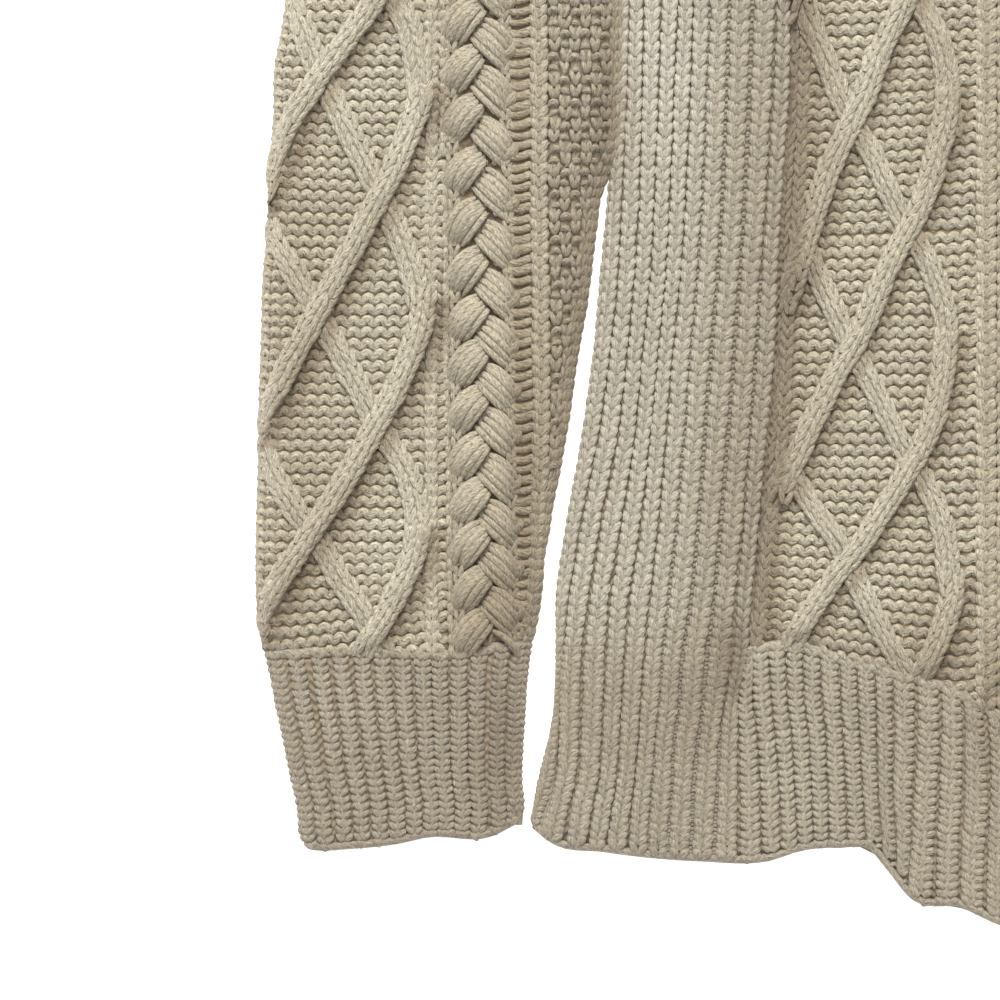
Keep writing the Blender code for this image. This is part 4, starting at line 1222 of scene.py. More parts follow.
SLEEVE_UNDER = ((B0, (-30,)), (B1, (80, 195)), (B2, (310, 425)), (B3, (532, 635)))
for path, under in SLEEVE_UNDER:
    cable(P_SLEEVE, sleeve, on_sleeve(path), sleeve_keep, over=0.1, core=2.2, half=14.0, under=under,
          fade=fold_fade)
for path in (S1, S2, S3, S4):
    cable(P_SLEEVE, sleeve, on_sleeve(path), sleeve_keep, over=0.9, core=3.6, half=13.5,
          fade=fold_fade)
for k in range(2, 5):
    cable(P_SLEEVE, sleeve, moved(B2, -225 * k), sleeve_keep, over=0.2, core=1.7,
          under=(310 - 225 * k, 425 - 225 * k))
for k in range(2, 5):
    cable(P_SLEEVE, sleeve, moved(S2, -225 * k), sleeve_keep, over=1.4, core=2.4)

ridge(P_SLEEVE, sleeve, lambda y: np.interp(y, (0, 430, 660), (432, 431, 432)), 14.0, 660, SL_TOP,
      sleeve_keep, lift=0.55, pitch=11.3, sink=0.1)


def braid_mid(y):
    return np.interp(y, (0, 110, 214, 350, 450, 540, 640), (478, 478, 481, 482, 484, 485, 487))


LOBES = (672, 624, 581, 537, 494, 448, 402, 357, 311, 263, 214, 163, 110, 61, 13)
braid(P_SLEEVE, sleeve, braid_mid, 672, SL_TOP, sleeve_keep, period=49.0, lobes=LOBES)
SLEEVE_BAR = ((507, 0.5, -0.6), (511, 1.8, -0.1), (517, 2.2, 0.0), (523, 1.0, 0.1), (528, -1.2, 0.0),
              (532, -1, -0.6))


def bar_move(y):
    return np.interp(y, (0, 300, 500, 650), (1, 0, 6, 8))


rungs(P_SLEEVE, sleeve, SLEEVE_BAR, 655, SL_TOP, sleeve_keep, pitch=10.4, half=4.5, at=bar_move)


def ridge_x(y):
    x = np.interp(y, (0, 60, 140, 200, 320, 450, 560, 650), (538, 539, 539, 539, 541, 541, 536, 529))
    return sleeve_cell(x, y)


ridge(P_SLEEVE, sleeve, ridge_x, 20.0, 655, SL_TOP, sleeve_keep, lift=0.9, pitch=11.3)
moss(P_SLEEVE, sleeve, lambda y: float(ridge_x(y)) + 15.5,
     lambda y: float(sleeve_cell(edge_in(y) - 11, y)), 655, SL_TOP, sleeve_keep)
for _off, _sink in ((16.5, 0.25), (6.0, 0.1), (-5.0, 0.1)):
    ridge(P_SLEEVE, sleeve, lambda y: sleeve_cell(edge_in(y) - 1, y) + 1 - _off, 12.0, 655, SL_TOP,
          sleeve_keep, lift=0.5, pitch=11.3, sink=_sink)

# ---------------------------------------------------------------------- cuffs
CUFF_COLS = (288, 306, 328, 348, 368, 387, 406, 425, 441, 459, 477, 498, 514)


def cuff_keep(x, y):
    cx = cell_x(-np.abs(x))
    low = to_y(np.interp(cx, *zip(*CUFF_EDGE)))
    top = to_y(np.interp(cx, *zip(*CUFF_TOP)))
    return (y > low + 1.7) & (y < top + 1.0)


def cuff_at(c, share):
    k = min(max(int(round(c)), 0), len(CUFF_COLS) - 1)
    out0, in0 = float(edge_out(720)), float(edge_in(720))
    rel = (CUFF_COLS[k] - out0) / (in0 - out0)
    guess = 290 + (520 - 290) * rel
    low = float(np.interp(guess, *zip(*CUFF_EDGE)))
    top = float(np.interp(guess, *zip(*CUFF_TOP)))
    y = low + (top - low) * share
    o, i = float(edge_out(y)), float(edge_in(y))
    x = float(sleeve_cell(o + (i - o) * rel, y))
    return x + (c - k) * 18.0, y


for c in range(-2, len(CUFF_COLS) + 2):
    ctrl, half = [], []
    for r in range(28):
        share = (r - 0.3) / 26
        (x, y), (_, y2) = cuff_at(c, share), cuff_at(c, share + 1 / 26)
        p = y - y2
        w = 18.2
        for leg in v_legs(x, x, w * 1.16, y, p, -2.4):
            ctrl.append(leg)
            half.append(0.165 * w)
    loops(P_CUFF, sleeve, ctrl, (0.0, 0.85, 0.1), half, 0.85, "drop", fine=(4, 5), rough=(3, 4),
          keep=cuff_keep, mirror=True, tip=0.6)

for c in range(-1, len(CUFF_COLS) + 1):
    line = np.array([cuff_at(c, q) for q in np.linspace(0.01, 0.99, 16)])
    strands(P_CUFF, sleeve, line, -0.3, 7.0, 0.75, fine_ring=5, rough_ring=4, mirror=True)
_ex = np.linspace(304.0, 520.5, 70)
_ey = np.interp(_ex, *zip(*CUFF_EDGE))
_ey = np.convolve(np.pad(_ey, 5, mode="edge"), np.ones(11) / 11, mode="valid") - 4.0
edge_line = np.array([(float(sleeve_cell(x, y)), y) for x, y in zip(_ex, _ey)])
strands(P_CUFF, sleeve, edge_line, -0.35, 4.4, 1.0, mirror=True)

seam_line = np.array([cuff_at(c, 0.995) for c in np.linspace(-1.4, len(CUFF_COLS) + 0.4, 90)])
strands(P_CUFF, sleeve, seam_line, -0.55, 5.5, 1.1, mirror=True, thin=2)

# ------------------------------------------------------------------- neckband
for place, turns in ((band, 33), (band_back, 31)):
    for c in range(turns):
        s = (c + 0.5) / turns * 2 - 1
        a, b, wide = [], [], []
        for r in range(9):
            for side in (-1, 1):
                foot, head = (r + 0.1) / 9, (r + 1.35) / 9
                a.append([s + side * 0.006, s + side * 0.013, s + side * 0.017])
                b.append([foot, (foot + head) / 2, head])
        a, b = np.array(a), np.clip(np.array(b), 0.01, 0.99)
        if place is band_back:
            a = -a
        e = 0.01
        p = place(a, b)
        n = np.cross(place(a + e, b) - place(a - e, b), place(a, b + e) - place(a, b - e))
        n /= np.linalg.norm(n, axis=-1, keepdims=True)
        n *= np.sign(n[..., 2:3])
        high_ = np.array([0.1, 0.9, 0.0])
        P_NECK[1].tubes(p + n * high_[:, None], n, np.full(a.shape, 1.35) * [0.6, 1, 0.7],
                        np.full(a.shape, 0.9), 4)


# ------------------------------------------------------------------ base cloths
def grid_shell(name, outer, inner, closed):
    """A thin closed wall between two grids of points."""
    outer, inner = np.asarray(outer), np.asarray(inner)
    rows, cols = outer.shape[:2]
    verts = np.concatenate([outer.reshape(-1, 3), inner.reshape(-1, 3)])
    shift = rows * cols
    faces = []
    spans = cols if closed else cols - 1
    vid = lambda j, i: j * cols + i % cols
    for j in range(rows - 1):
        for i in range(spans):
            a, b, c, d = vid(j, i), vid(j, i + 1), vid(j + 1, i + 1), vid(j + 1, i)
            faces.append((a, b, c, d))
            faces.append((a + shift, d + shift, c + shift, b + shift))
    for i in range(spans):
        a, b = vid(0, i), vid(0, i + 1)
        faces.append((a, a + shift, b + shift, b))
        a, b = vid(rows - 1, i), vid(rows - 1, i + 1)
        faces.append((a, b, b + shift, a + shift))
    if not closed:
        for j in range(rows - 1):
            a, d = vid(j, 0), vid(j + 1, 0)
            faces.append((a, d, d + shift, a + shift))
            a, d = vid(j, cols - 1), vid(j + 1, cols - 1)
            faces.append((a, a + shift, d + shift, d))
    f = np.array(faces)
    v = verts
    t = np.concatenate([f[:, [0, 1, 2]], f[:, [0, 2, 3]]])
    volume = np.einsum("ij,ij->i", v[t[:, 0]], np.cross(v[t[:, 1]], v[t[:, 2]])).sum()
    if volume < 0:
        f = f[:, ::-1]
    out = verts.copy()
    out[:, 1] -= MIDDLE
    mesh = bpy.data.meshes.new(name)
    mesh.from_pydata((out * MM).tolist(), [], f.tolist())
    mesh.polygons.foreach_set("use_smooth", np.ones(len(f), dtype=bool))
    mesh.update()
    thing = bpy.data.objects.new(name, mesh)
    bpy.context.scene.collection.objects.link(thing)
    return thing


SUNK = 0.55  # how far the base cloth lies under the face that the loops stand on
THIN = 1.4


def coons(bottom, top, left, right, us, vs):
    """Grid of plan points between four edge curves."""
    out = np.zeros((len(vs), len(us), 2))
    c = [np.array(p(e)) for p, e in ((bottom, 0), (bottom, 1), (top, 0), (top, 1))]
    for j, v in enumerate(vs):
        le, ri = np.array(left(v)), np.array(right(v))
        for i, u in enumerate(us):
            out[j, i] = (
                (1 - v) * np.array(bottom(u)) + v * np.array(top(u)) + (1 - u) * le + u * ri
                - (1 - u) * (1 - v) * c[0] - u * (1 - v) * c[1] - (1 - u) * v * c[2] - u * v * c[3]
            )
    return out


def front_side(y):
    return -float(rib_x(y)) if y <= SPLIT[1] else -float(arm_x(y))


def panel_plan(nu, nv, drop, power):
    low, high = float(hem_top(-183.0)), SHOULDER_TIP[1]

    def bottom(u):
        x0 = front_side(low)
        x = x0 + (-2 * x0) * u
        return x, float(hem_top(x))

    def top(u):
        x = SHOULDER_TIP[0] * (1 - 2 * u)
        if abs(x) >= NECK_HALF:
            return x, float(shoulder_y(x))
        return x, NECK_TOP - drop * (1 - abs(x / NECK_HALF) ** power)

    def left(v):
        y = bottom(0)[1] + (high - bottom(0)[1]) * v
        return front_side(y), y

    def right(v):
        x, y = left(v)
        return -x, y

    return coons(bottom, top, left, right, np.linspace(0, 1, nu), np.linspace(0, 1, nv))


def hem_plan(nu, nv):
    def side(v):
        y = -0.8 + 80.2 * v
        return -float(rib_x(y)), y

    def bottom(u):
        x0 = side(0)[0]
        x = x0 * (1 - 2 * u)
        return x, float(hem_edge(x))

    def top(u):
        x0 = side(1)[0]
        x = x0 * (1 - 2 * u)
        return x, float(hem_top(x))

    return coons(bottom, top, side, lambda v: (-side(v)[0], side(v)[1]),
                 np.linspace(0, 1, nu), np.linspace(0, 1, nv))


def flat_pair(plan, top, thick):
    """Face and inside of a wall over plan points: top is its face's height there."""
    x, y = plan[..., 0], plan[..., 1]
    z = top(x, y)
    return np.stack([x, y, z], -1), np.stack([x, y, z - thick], -1)


def mirror_points(points):
    return np.asarray(points) * np.array([-1, 1, 1])


shells = {}
plan = panel_plan(97, 107, NECK_DROP, NECK_POWER)
shells["front_panel"] = grid_shell(
    "front_panel_cloth", *flat_pair(plan, lambda x, y: front_top(x, y) - SUNK, THIN), False)
plan = panel_plan(41, 45, 8.0, 2.0)
shells["back_panel"] = grid_shell(
    "back_panel_cloth", *flat_pair(plan, lambda x, y: 2.6 + 0 * x, 2.6), False)
plan = hem_plan(91, 17)
shells["hem_front"] = grid_shell(
    "hem_front_cloth", *flat_pair(plan, lambda x, y: front_top(x, y) - SUNK, THIN), False)
plan = hem_plan(61, 7)
shells["hem_back"] = grid_shell(
    "hem_back_cloth", *flat_pair(plan, lambda x, y: 2.6 + 0 * x, 2.6), False)


def side_ring(side, count=21):
    """Plan rows of a side panel: height along the fold and height along the rib line."""
    outer, inner = [], []
    for v in np.linspace(0, 1, 64):
        y_rib = -0.8 + (SPLIT[1] + 0.8) * v
        y_fold = 12.0 + (UNDERARM[1] - 12.0) * v
        x_rib, x_fold = float(rib_x(y_rib)), float(side_x(np.array(y_fold)))
        us = np.linspace(0, 1, count)
        face, low = [], []
        for u in us[::-1]:
            x = x_fold + (x_rib - x_fold) * u
            y = y_fold + (y_rib - y_fold) * u
            if v < 0.3:
                bend = float(hem_edge(x)) - (12.0 + (-0.8 - 12.0) * u)
                y += bend * (1 - v / 0.3)
            if v > 0.75:
                ax, ay = armhole_curve(ARM_SPLIT * u)
                sx, sy = armhole_curve(0)
                ex, ey = SPLIT
                y += (ay - (sy + (ey - sy) * u)) * (v - 0.75) / 0.25
            face.append((x, y))
        fx = np.array(face)
        roll = 4.2
        d = x_fold - fx[:, 0]
        lift = np.sqrt(np.clip(1 - (1 - np.clip(d / roll, 0, 1)) ** 2, 0, 1))
        top = front_top(-fx[:, 0] * 1.0, fx[:, 1]) - SUNK
        z = FOLD_Z + (top - FOLD_Z) * lift
        o = [(-(x), y, zz) for (x, y), zz in zip(fx, z)]
        i = [(-(x) + 0.9 * (1 - l), y, FOLD_Z + max(zz - THIN - FOLD_Z, 0.0) * l) for (x, y), zz, l in zip(fx, z, lift)]
        for u in np.linspace(0, 1, 11)[1:]:
            x = x_fold + (x_rib - x_fold) * u
            y = y_fold + (y_rib - y_fold) * u
            if v < 0.3:
                y += (float(hem_edge(x)) - (12.0 + (-0.8 - 12.0) * u)) * (1 - v / 0.3)
            d1 = (x_fold - x)
            l = math.sqrt(max(0.0, 1 - (1 - min(d1 / roll, 1)) ** 2))
            o.append((-x, y, FOLD_Z * (1 - l)))
            i.append((-x + 0.9 * (1 - l), y, FOLD_Z + (2.6 - FOLD_Z) * l))
        outer.append(o)
        inner.append(i)
    return np.array(outer), np.array(inner)


o, i = side_ring(-1)
shells["side_panel_left"] = grid_shell("side_panel_left_cloth", o, i, False)
shells["side_panel_right"] = grid_shell(
    "side_panel_right_cloth", mirror_points(o), mirror_points(i), False)


def tube_shell(name, ls, around=41, low=None):
    """A flattened tube between the folds of the sleeve, over the lengths ls."""
    outer, inner = [], []
    for row in ls:
        us = np.linspace(0, 1, around)
        l = row if np.ndim(row) else np.full(around, row)
        x, y = sleeve_plan(us, l)
        if not np.ndim(row):
            pass
        ox, oy, ix, iy = sleeve_ends(l)
        width = np.hypot(ix - ox, iy - oy)
        roll = np.minimum(ROLL_SLEEVE * 0.75, width / 4)
        d = np.minimum(us, 1 - us) * width
        lift = np.sqrt(np.clip(1 - (1 - np.clip(d / roll, 0, 1)) ** 2, 0, 1))
        calm = ease((SLEEVE_END - l) / 90.0) * (0.55 + 0.45 * ease((l - 10) / 60))
        top = FRONT_TOP - SUNK + (0.4 + SL_RAISE * (1 - (2 * us - 1) ** 4)) * calm
        z = FOLD_Z + (top - FOLD_Z) * lift
        zi = FOLD_Z + np.clip(top - THIN - FOLD_Z, 0.1, None) * lift
        inset = 0.012 * (1 - 2 * us) * (1 - lift)
        face = np.stack([x, y, z], -1)
        back_face = np.stack([x + 0 * inset, y, zi], -1)
        under = np.stack([x, y, FOLD_Z * (1 - lift)], -1)[::-1][1:-1]
        under_in = np.stack([x, y, FOLD_Z + (2.6 - FOLD_Z) * lift], -1)[::-1][1:-1]
        squeeze = np.linspace(0, 1, around)
        shrink = 0.9 / width
        xi, yi = sleeve_plan(0.5 + (us - 0.5) * (1 - 2 * shrink), l)
        back_face[:, 0], back_face[:, 1] = xi, yi
        under_in[:, 0], under_in[:, 1] = xi[::-1][1:-1], yi[::-1][1:-1]
        outer.append(np.concatenate([face, under]))
        inner.append(np.concatenate([back_face, under_in]))
    return grid_shell(name, np.array(outer), np.array(inner), True), (outer, inner)


us = np.linspace(0, 1, 41)
seam_px = 290 + (528 - 270) * us
cuff_x = 268 + (528 - 268) * us
seam_l = to_y(np.interp(cuff_x, *zip(*CUFF_TOP)))
low_x = 303 + (521 - 303) * us
low_l = to_y(np.interp(low_x, *zip(*CUFF_EDGE)))
share = np.linspace(0, 1, 12)[:, None]
cuff_rows = list(low_l + 0.8 + (seam_l - low_l - 0.8) * share)
body_l = np.linspace(0, 1, 64)[:, None]
ends = np.full(41, SLEEVE_END)
sleeve_rows = list(seam_l + 0.05 + (ends - 0.45 - seam_l) * body_l)
shells["sleeve_left"], (o, i) = tube_shell("sleeve_left_cloth", sleeve_rows)
shells["sleeve_right"] = grid_shell(
    "sleeve_right_cloth", mirror_points(o), mirror_points(i), True)
shells["cuff_left"], (o, i) = tube_shell("cuff_left_cloth", cuff_rows)
shells["cuff_right"] = grid_shell("cuff_right_cloth", mirror_points(o), mirror_points(i), True)


def band_shell():
    outer, inner = [], []
    for f in np.linspace(0, 1, 9):
        s = np.linspace(-1, 1, 61)
        n = np.abs(s) ** NECK_POWER
        x0, y0 = (NECK_HALF - 0.4) * s, NECK_TOP + 0.4 - NECK_DROP * (1 - n)
        x1, y1 = BAND_HALF * s, BAND_TOP - BAND_DROP * (1 - n)
        z = 5.2 + 1.2 * math.sin(f * math.pi) - 1.2 * ease((np.abs(s) - 0.93) / 0.07)
        front = np.stack([x0 + (x1 - x0) * f, y0 + (y1 - y0) * f, z], -1)
        s2 = s[::-1][1:-1]
        n = np.abs(s2) ** 2
        x0, y0 = (NECK_HALF - 0.4) * s2, NECK_TOP + 0.4 - 8.0 * (1 - n)
        x1, y1 = BAND_HALF * s2, BAND_TOP - BAND_BACK * (1 - n)
        back = np.stack([x0 + (x1 - x0) * f, y0 + (y1 - y0) * f, 0 * s2], -1)
        outer.append(np.concatenate([front, back]))
        fi, bi = front.copy(), back.copy()
        fi[:, 2] -= 1.3
        bi[:, 2] = 2.4
        inner.append(np.concatenate([fi, bi]))
    return grid_shell("neckband_cloth", np.array(outer), np.array(inner), True)


shells["neckband"] = band_shell()


# ------------------------------------------------------------------- materials
def node(tree, kind, **inputs):
    n = tree.nodes.new(kind)
    for key, value in inputs.items():
        n.inputs[key].default_value = value
    return n


def maths(tree, op, a, b=None, clamp=False):
    n = tree.nodes.new("ShaderNodeMath")
    n.operation = op
    n.use_clamp = clamp
    for slot, value in ((0, a), (1, b)):
        if value is None:
            continue
        if isinstance(value, (int, float)):
            n.inputs[slot].default_value = value
        else:
            tree.links.new(value, n.inputs[slot])
    return n.outputs[0]


def mix(tree, factor, a, b, mode="MIX"):
    n = tree.nodes.new("ShaderNodeMix")
    n.data_type = "RGBA"
    n.blend_type = mode
    for key, value in (("Factor", factor), ("A", a), ("B", b)):
        sockets = [s for s in n.inputs if s.name == key and (
            s.type == ("VALUE" if key == "Factor" else "RGBA"))]
        if isinstance(value, (int, float, tuple)):
            sockets[0].default_value = value
        else:
            tree.links.new(value, sockets[0])
    return [s for s in n.outputs if s.type == "RGBA"][0]


def yarn_material(name, lit, shade_colour, seed, speckle=2.5):
    mat = bpy.data.materials.new(name)
    mat.use_nodes = True
    tree = mat.node_tree
    shader = tree.nodes["Principled BSDF"]
    shader.inputs["Roughness"].default_value = 0.88
    shader.inputs["Specular IOR Level"].default_value = 0.22
    shader.inputs["Sheen Weight"].default_value = 0.35
    shader.inputs["Sheen Roughness"].default_value = 0.55
    uv = tree.nodes.new("ShaderNodeUVMap")
    uv.uv_map = "yarn"
    tone = tree.nodes.new("ShaderNodeUVMap")
    tone.uv_map = "tone"
    split = tree.nodes.new("ShaderNodeSeparateXYZ")
    tree.links.new(uv.outputs[0], split.inputs[0])
    tsplit = tree.nodes.new("ShaderNodeSeparateXYZ")
    tree.links.new(tone.outputs[0], tsplit.inputs[0])
    u, v = split.outputs[0], split.outputs[1]
    # plies: grooves that run round the yarn with its twist
    swirl = maths(tree, "ADD", maths(tree, "MULTIPLY", u, 0.22), maths(tree, "MULTIPLY", v, 3.1))
    wob = node(tree, "ShaderNodeTexNoise", Scale=0.45, Detail=1.0)
    tree.links.new(uv.outputs[0], wob.inputs["Vector"])
    swirl = maths(tree, "ADD", swirl, maths(tree, "MULTIPLY", wob.outputs[0], 0.5))
    ply = maths(tree, "ABSOLUTE", maths(tree, "SINE", maths(tree, "MULTIPLY", swirl, math.pi)))
    ply = maths(tree, "POWER", ply, 0.55)
    # fibres: fine streaks along the plies
    comb = tree.nodes.new("ShaderNodeCombineXYZ")
    tree.links.new(maths(tree, "MULTIPLY", u, 0.62), comb.inputs[0])
    tree.links.new(maths(tree, "MULTIPLY", swirl, 2.1), comb.inputs[1])
    fibre = node(tree, "ShaderNodeTexNoise", Scale=1.0, Detail=2.5, Roughness=0.6)
    tree.links.new(comb.outputs[0], fibre.inputs["Vector"])
    # soft lumps of the spinning
    lump = node(tree, "ShaderNodeTexNoise", Scale=0.9, Detail=2.0)
    tree.links.new(uv.outputs[0], lump.inputs["Vector"])
    height = maths(tree, "ADD", maths(tree, "MULTIPLY", ply, 0.42),
                   maths(tree, "MULTIPLY", fibre.outputs[0], 1.5))
    height = maths(tree, "ADD", height, maths(tree, "MULTIPLY", lump.outputs[0], 0.4))
    bump = tree.nodes.new("ShaderNodeBump")
    bump.inputs["Strength"].default_value = 0.85
    bump.inputs["Distance"].default_value = 0.00042
    tree.links.new(height, bump.inputs["Height"])
    tree.links.new(bump.outputs[0], shader.inputs["Normal"])
    # colour: painted shade makes the ply grooves darker and browner; each loop is a little different at random
    base = mix(tree, maths(tree, "ADD", maths(tree, "MULTIPLY", ply, 0.42), 0.58, True), (*shade_colour, 1),
               (*lit, 1))
    streak = maths(tree, "MULTIPLY", maths(tree, "SUBTRACT", fibre.outputs[0], 0.5), speckle)
    streak = maths(tree, "ADD", streak, 1.0)
    vary = maths(tree, "ADD", maths(tree, "MULTIPLY", tsplit.outputs[0], 0.14), 0.93)
    vary = maths(tree, "MULTIPLY", vary, streak)
    # painted shade from the tone map: shaded places are darker and a little browner
    shade = maths(tree, "SUBTRACT", 1.0, maths(tree, "MULTIPLY", tsplit.outputs[1], 0.45))
    brown = maths(tree, "SUBTRACT", 1.0, maths(tree, "MULTIPLY", tsplit.outputs[1], 0.11))
    vary = maths(tree, "MULTIPLY", vary, shade)
    grey = tree.nodes.new("ShaderNodeCombineColor")
    tree.links.new(vary, grey.inputs[0])
    tree.links.new(maths(tree, "MULTIPLY", vary, brown), grey.inputs[1])
    tree.links.new(maths(tree, "MULTIPLY", maths(tree, "MULTIPLY", vary, brown), brown), grey.inputs[2])
    colour = mix(tree, 1.0, base, grey.outputs[0], "MULTIPLY")
    # painted shade: the sides of each yarn, where it dips between loops, are darkened to brown
    edge = maths(tree, "ABSOLUTE", maths(tree, "SUBTRACT", maths(tree, "MULTIPLY", v, 2.0), 1.0))
    edge = maths(tree, "MULTIPLY", maths(tree, "POWER", edge, 3.0), 0.62, True)
    warm = mix(tree, edge, colour, (0.33, 0.25, 0.15, 1))
    tree.links.new(warm, shader.inputs["Base Color"])
    rough = maths(tree, "ADD", maths(tree, "MULTIPLY", fibre.outputs[0], 0.2), 0.76)
    tree.links.new(rough, shader.inputs["Roughness"])
    mat.diffuse_color = (*lit, 1)
    return mat


def ground_material(name, colour, shade_colour, rib):
    """The cloth behind the loops: shaded yarn in rows, as the wrong side shows it."""
    mat = bpy.data.materials.new(name)
    mat.use_nodes = True
    tree = mat.node_tree
    shader = tree.nodes["Principled BSDF"]
    shader.inputs["Roughness"].default_value = 0.92
    shader.inputs["Specular IOR Level"].default_value = 0.15
    shader.inputs["Sheen Weight"].default_value = 0.2
    where = tree.nodes.new("ShaderNodeTexCoord")
    split = tree.nodes.new("ShaderNodeSeparateXYZ")
    tree.links.new(where.outputs["Object"], split.inputs[0])
    x = maths(tree, "MULTIPLY", split.outputs[0], 1000.0)
    y = maths(tree, "MULTIPLY", split.outputs[1], 1000.0)
    noise = node(tree, "ShaderNodeTexNoise", Scale=420.0, Detail=5.0, Roughness=0.65)
    tree.links.new(where.outputs["Object"], noise.inputs["Vector"])
    wide = 6.2 if rib else 5.1
    pitch = 3.4 if rib else 4.4
    cols = maths(tree, "COSINE", maths(tree, "MULTIPLY", x, 2 * math.pi / wide))
    rows_ = maths(tree, "COSINE", maths(tree, "MULTIPLY", maths(
        tree, "ADD", y, maths(tree, "MULTIPLY", cols, 0.9)), 2 * math.pi / pitch))
    height = maths(tree, "ADD", maths(tree, "MULTIPLY", rows_, 0.5), maths(
        tree, "MULTIPLY", cols, 0.6 if rib else 0.15))
    height = maths(tree, "ADD", height, maths(tree, "MULTIPLY", noise.outputs[0], 1.2))
    bump = tree.nodes.new("ShaderNodeBump")
    bump.inputs["Strength"].default_value = 0.9
    bump.inputs["Distance"].default_value = 0.0006
    tree.links.new(height, bump.inputs["Height"])
    tree.links.new(bump.outputs[0], shader.inputs["Normal"])
    shade = maths(tree, "ADD", maths(tree, "MULTIPLY", rows_, 0.25), 0.5)
    shade = maths(tree, "ADD", shade, maths(tree, "MULTIPLY", maths(
        tree, "SUBTRACT", noise.outputs[0], 0.5), 0.8), True)
    tree.links.new(mix(tree, shade, (*shade_colour, 1), (*colour, 1)), shader.inputs["Base Color"])
    tree.links.new(maths(tree, "ADD", maths(tree, "MULTIPLY", noise.outputs[0], 0.12), 0.84),
                   shader.inputs["Roughness"])
    mat.diffuse_color = (*colour, 1)
    return mat


# the cream yarn's lit colour and its painted-shade colour; each yarn material below is given its own such pair
LIT = (0.605, 0.565, 0.46)
PAINTED_SHADE_YARN = (0.46, 0.40, 0.29)
YARN = yarn_material("knit_yarn", (0.59, 0.536, 0.412), (0.45, 0.38, 0.26), 1)
RIB = yarn_material("rib_yarn", (0.545, 0.504, 0.405), (0.42, 0.365, 0.265), 2, 2.1)


def hair_material():
    """Loose fibres: paler than the yarn, each a little different."""
    mat = bpy.data.materials.new("loose_fibre")
    mat.use_nodes = True
    tree = mat.node_tree
    shader = tree.nodes["Principled BSDF"]
    shader.inputs["Specular IOR Level"].default_value = 0.3
    tone = tree.nodes.new("ShaderNodeUVMap")
    tone.uv_map = "tone"
    split = tree.nodes.new("ShaderNodeSeparateXYZ")
    tree.links.new(tone.outputs[0], split.inputs[0])
    where = tree.nodes.new("ShaderNodeTexCoord")
    noise = node(tree, "ShaderNodeTexNoise", Scale=900.0, Detail=2.0)
    tree.links.new(where.outputs["Object"], noise.inputs["Vector"])
    pale = mix(tree, split.outputs[0], (0.50, 0.45, 0.345, 1), (0.93, 0.88, 0.77, 1))
    # painted shade from the tone map darkens the fibres, with some noise
    dark = maths(tree, "SUBTRACT", 1.0, maths(tree, "MULTIPLY", split.outputs[1], 0.42))
    dark = maths(tree, "MULTIPLY", dark, maths(tree, "ADD", maths(
        tree, "MULTIPLY", noise.outputs[0], 0.4), 0.8))
    grey = tree.nodes.new("ShaderNodeCombineColor")
    for k in range(3):
        tree.links.new(dark, grey.inputs[k])
    tree.links.new(mix(tree, 1.0, pale, grey.outputs[0], "MULTIPLY"), shader.inputs["Base Color"])
    tree.links.new(maths(tree, "ADD", maths(tree, "MULTIPLY", noise.outputs[0], 0.3), 0.6),
                   shader.inputs["Roughness"])
    mat.diffuse_color = (0.7, 0.65, 0.53, 1)
    return mat


HAIR = hair_material()
# painted shade: the cloth behind the loops of the face is made dark brown for the shade in the gaps between loops; the
# wrong side keeps the yarn's own colour
GAP_SHADE_CLOTH = ground_material("knit_ground", (0.38, 0.30, 0.205), (0.23, 0.175, 0.11), False)
WRONG_SIDE = ground_material("wrong_side", (0.56, 0.50, 0.39), (0.38, 0.31, 0.21), False)
RIB_GAP_SHADE_CLOTH = ground_material("rib_ground", (0.42, 0.34, 0.24), (0.26, 0.20, 0.13), True)

RIBBED = ("hem", "side", "cuff", "neck")
OWNER = {
    "front": "front_panel", "hem": "hem_front", "side_stitches_left": "side_panel_left",
    "side_stitches_right": "side_panel_right", "sleeve_stitches_left": "sleeve_left",
    "sleeve_stitches_right": "sleeve_right", "cuff_stitches_left": "cuff_left",
    "cuff_stitches_right": "cuff_right", "neckband": "neckband",
}
loose = {name: [] for name in shells}
total = 0
for pile in PILES.values():
    if not pile.count:
        continue
    rib = pile.name.startswith(RIBBED)
    thing = pile.build(RIB if rib else YARN)
    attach(thing, "root")
    owner = [o for k, o in OWNER.items() if pile.name.startswith(k)][0]
    loose[owner].append(thing)
    tris = len(thing.data.polygons) * 2
    total += tris
    print("tris", pile.name, tris)
for name, lots in HAIRS.items():
    quad, tone, tint = (np.concatenate(q) for q in zip(*lots))
    count = len(quad)
    mesh = bpy.data.meshes.new(name.replace("stitches", "fibres"))
    flat = quad.reshape(-1, 3).copy()
    flat[:, 1] -= MIDDLE
    mesh.vertices.add(count * 4)
    mesh.vertices.foreach_set("co", (flat * MM).astype(np.float32).ravel())
    mesh.loops.add(count * 4)
    mesh.loops.foreach_set("vertex_index", np.arange(count * 4, dtype=np.int32))
    mesh.polygons.add(count)
    mesh.polygons.foreach_set("loop_start", np.arange(0, count * 4, 4, dtype=np.int32))
    mesh.polygons.foreach_set("loop_total", np.full(count, 4, dtype=np.int32))
    mesh.update(calc_edges=True)
    layer = mesh.uv_layers.new(name="tone")
    layer.data.foreach_set("uv", np.repeat(np.stack([tint, tone], 1), 4, axis=0).astype(np.float32).ravel())
    mesh.materials.append(HAIR)
    thing = bpy.data.objects.new(mesh.name, mesh)
    bpy.context.scene.collection.objects.link(thing)
    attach(thing, "root")
    loose[[o for k, o in OWNER.items() if name.startswith(k)][0]].append(thing)
    total += count * 2
    print("tris", thing.name, count * 2)
print("tris total of loops", total)

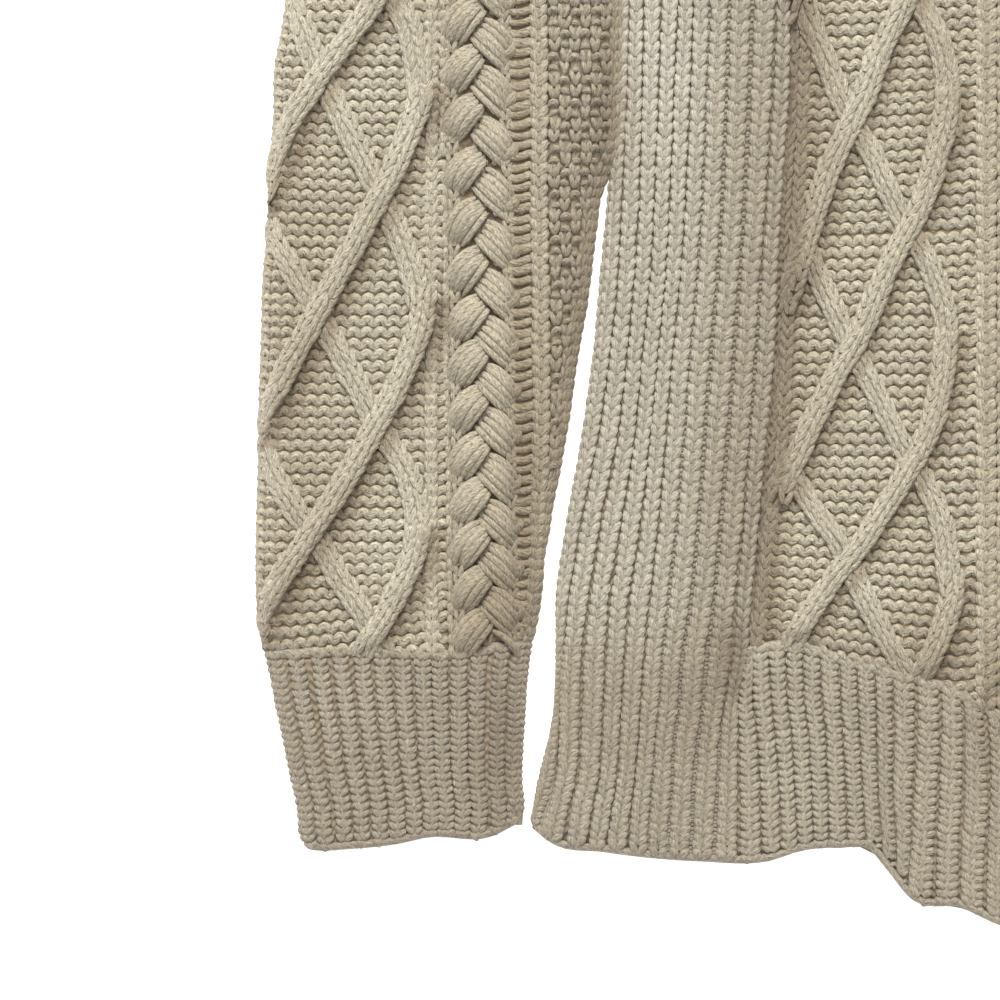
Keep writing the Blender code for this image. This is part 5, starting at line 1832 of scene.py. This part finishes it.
# each base cloth gets its material and stands in for its hidden CAD part; its triangles are counted
for name, shell in shells.items():
    rib = name.startswith(RIBBED)
    back = name in ("back_panel", "hem_back", "neckband")
    shell.data.materials.append(WRONG_SIDE if back else RIB_GAP_SHADE_CLOTH if rib else GAP_SHADE_CLOTH)
    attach(shell, "root")
    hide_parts(name)
    total += sum(len(q.vertices) - 2 for q in shell.data.polygons)
    print("tris shell", name, sum(len(q.vertices) - 2 for q in shell.data.polygons))
print("tris of all pieces", total)

# ---------------------------------------------------------- floor, light, camera
floor_mesh = bpy.data.meshes.new("floor")
floor_mesh.from_pydata([(-6, -6, 0), (6, -6, 0), (6, 6, 0), (-6, 6, 0)], [], [(0, 1, 2, 3)])
floor = bpy.data.objects.new("floor", floor_mesh)
bpy.context.scene.collection.objects.link(floor)
floor.location.z = -0.0002
fmat = bpy.data.materials.new("floor_paper")
fmat.use_nodes = True
fmat.node_tree.nodes["Principled BSDF"].inputs["Base Color"].default_value = (0.93, 0.93, 0.93, 1)
fmat.node_tree.nodes["Principled BSDF"].inputs["Roughness"].default_value = 0.9
fmat.node_tree.nodes["Principled BSDF"].inputs["Emission Color"].default_value = (1, 1, 1, 1)
fmat.node_tree.nodes["Principled BSDF"].inputs["Emission Strength"].default_value = 0.8
floor_mesh.materials.append(fmat)


def sun(name, direction, power, angle, colour=(1, 1, 1)):
    data = bpy.data.lights.new(name, "SUN")
    data.energy, data.angle, data.color = power, angle, colour
    thing = bpy.data.objects.new(name, data)
    bpy.context.scene.collection.objects.link(thing)
    dx, dy, dz = direction
    thing.rotation_euler = (
        math.atan2(math.hypot(dx, dy), dz), 0.0, math.atan2(dy, dx) + math.pi / 2)
    return thing


sun("key", (-0.05, 0.92, 0.8), 3.0, 0.5, (1.0, 0.99, 0.965))
world = bpy.data.worlds.new("studio")
bpy.context.scene.world = world
world.use_nodes = True
world.node_tree.nodes["Background"].inputs[0].default_value = (1.0, 1.0, 1.0, 1)
world.node_tree.nodes["Background"].inputs[1].default_value = 0.52

camera_data = bpy.data.cameras.new("camera")
camera = bpy.data.objects.new("camera", camera_data)
bpy.context.scene.collection.objects.link(camera)
HEIGHT = 2.0
camera_data.sensor_width = 36.0
camera_data.lens = 36.0 * (HEIGHT - 0.008) / 0.38
camera_data.clip_start, camera_data.clip_end = 0.1, 30
camera.location = (to_x(500.0) * MM, (float(to_y(500.0)) - MIDDLE) * MM, HEIGHT)
camera.rotation_euler = (0, 0, 0)
bpy.context.scene.camera = camera
bpy.context.scene.view_settings.view_transform = "Standard"
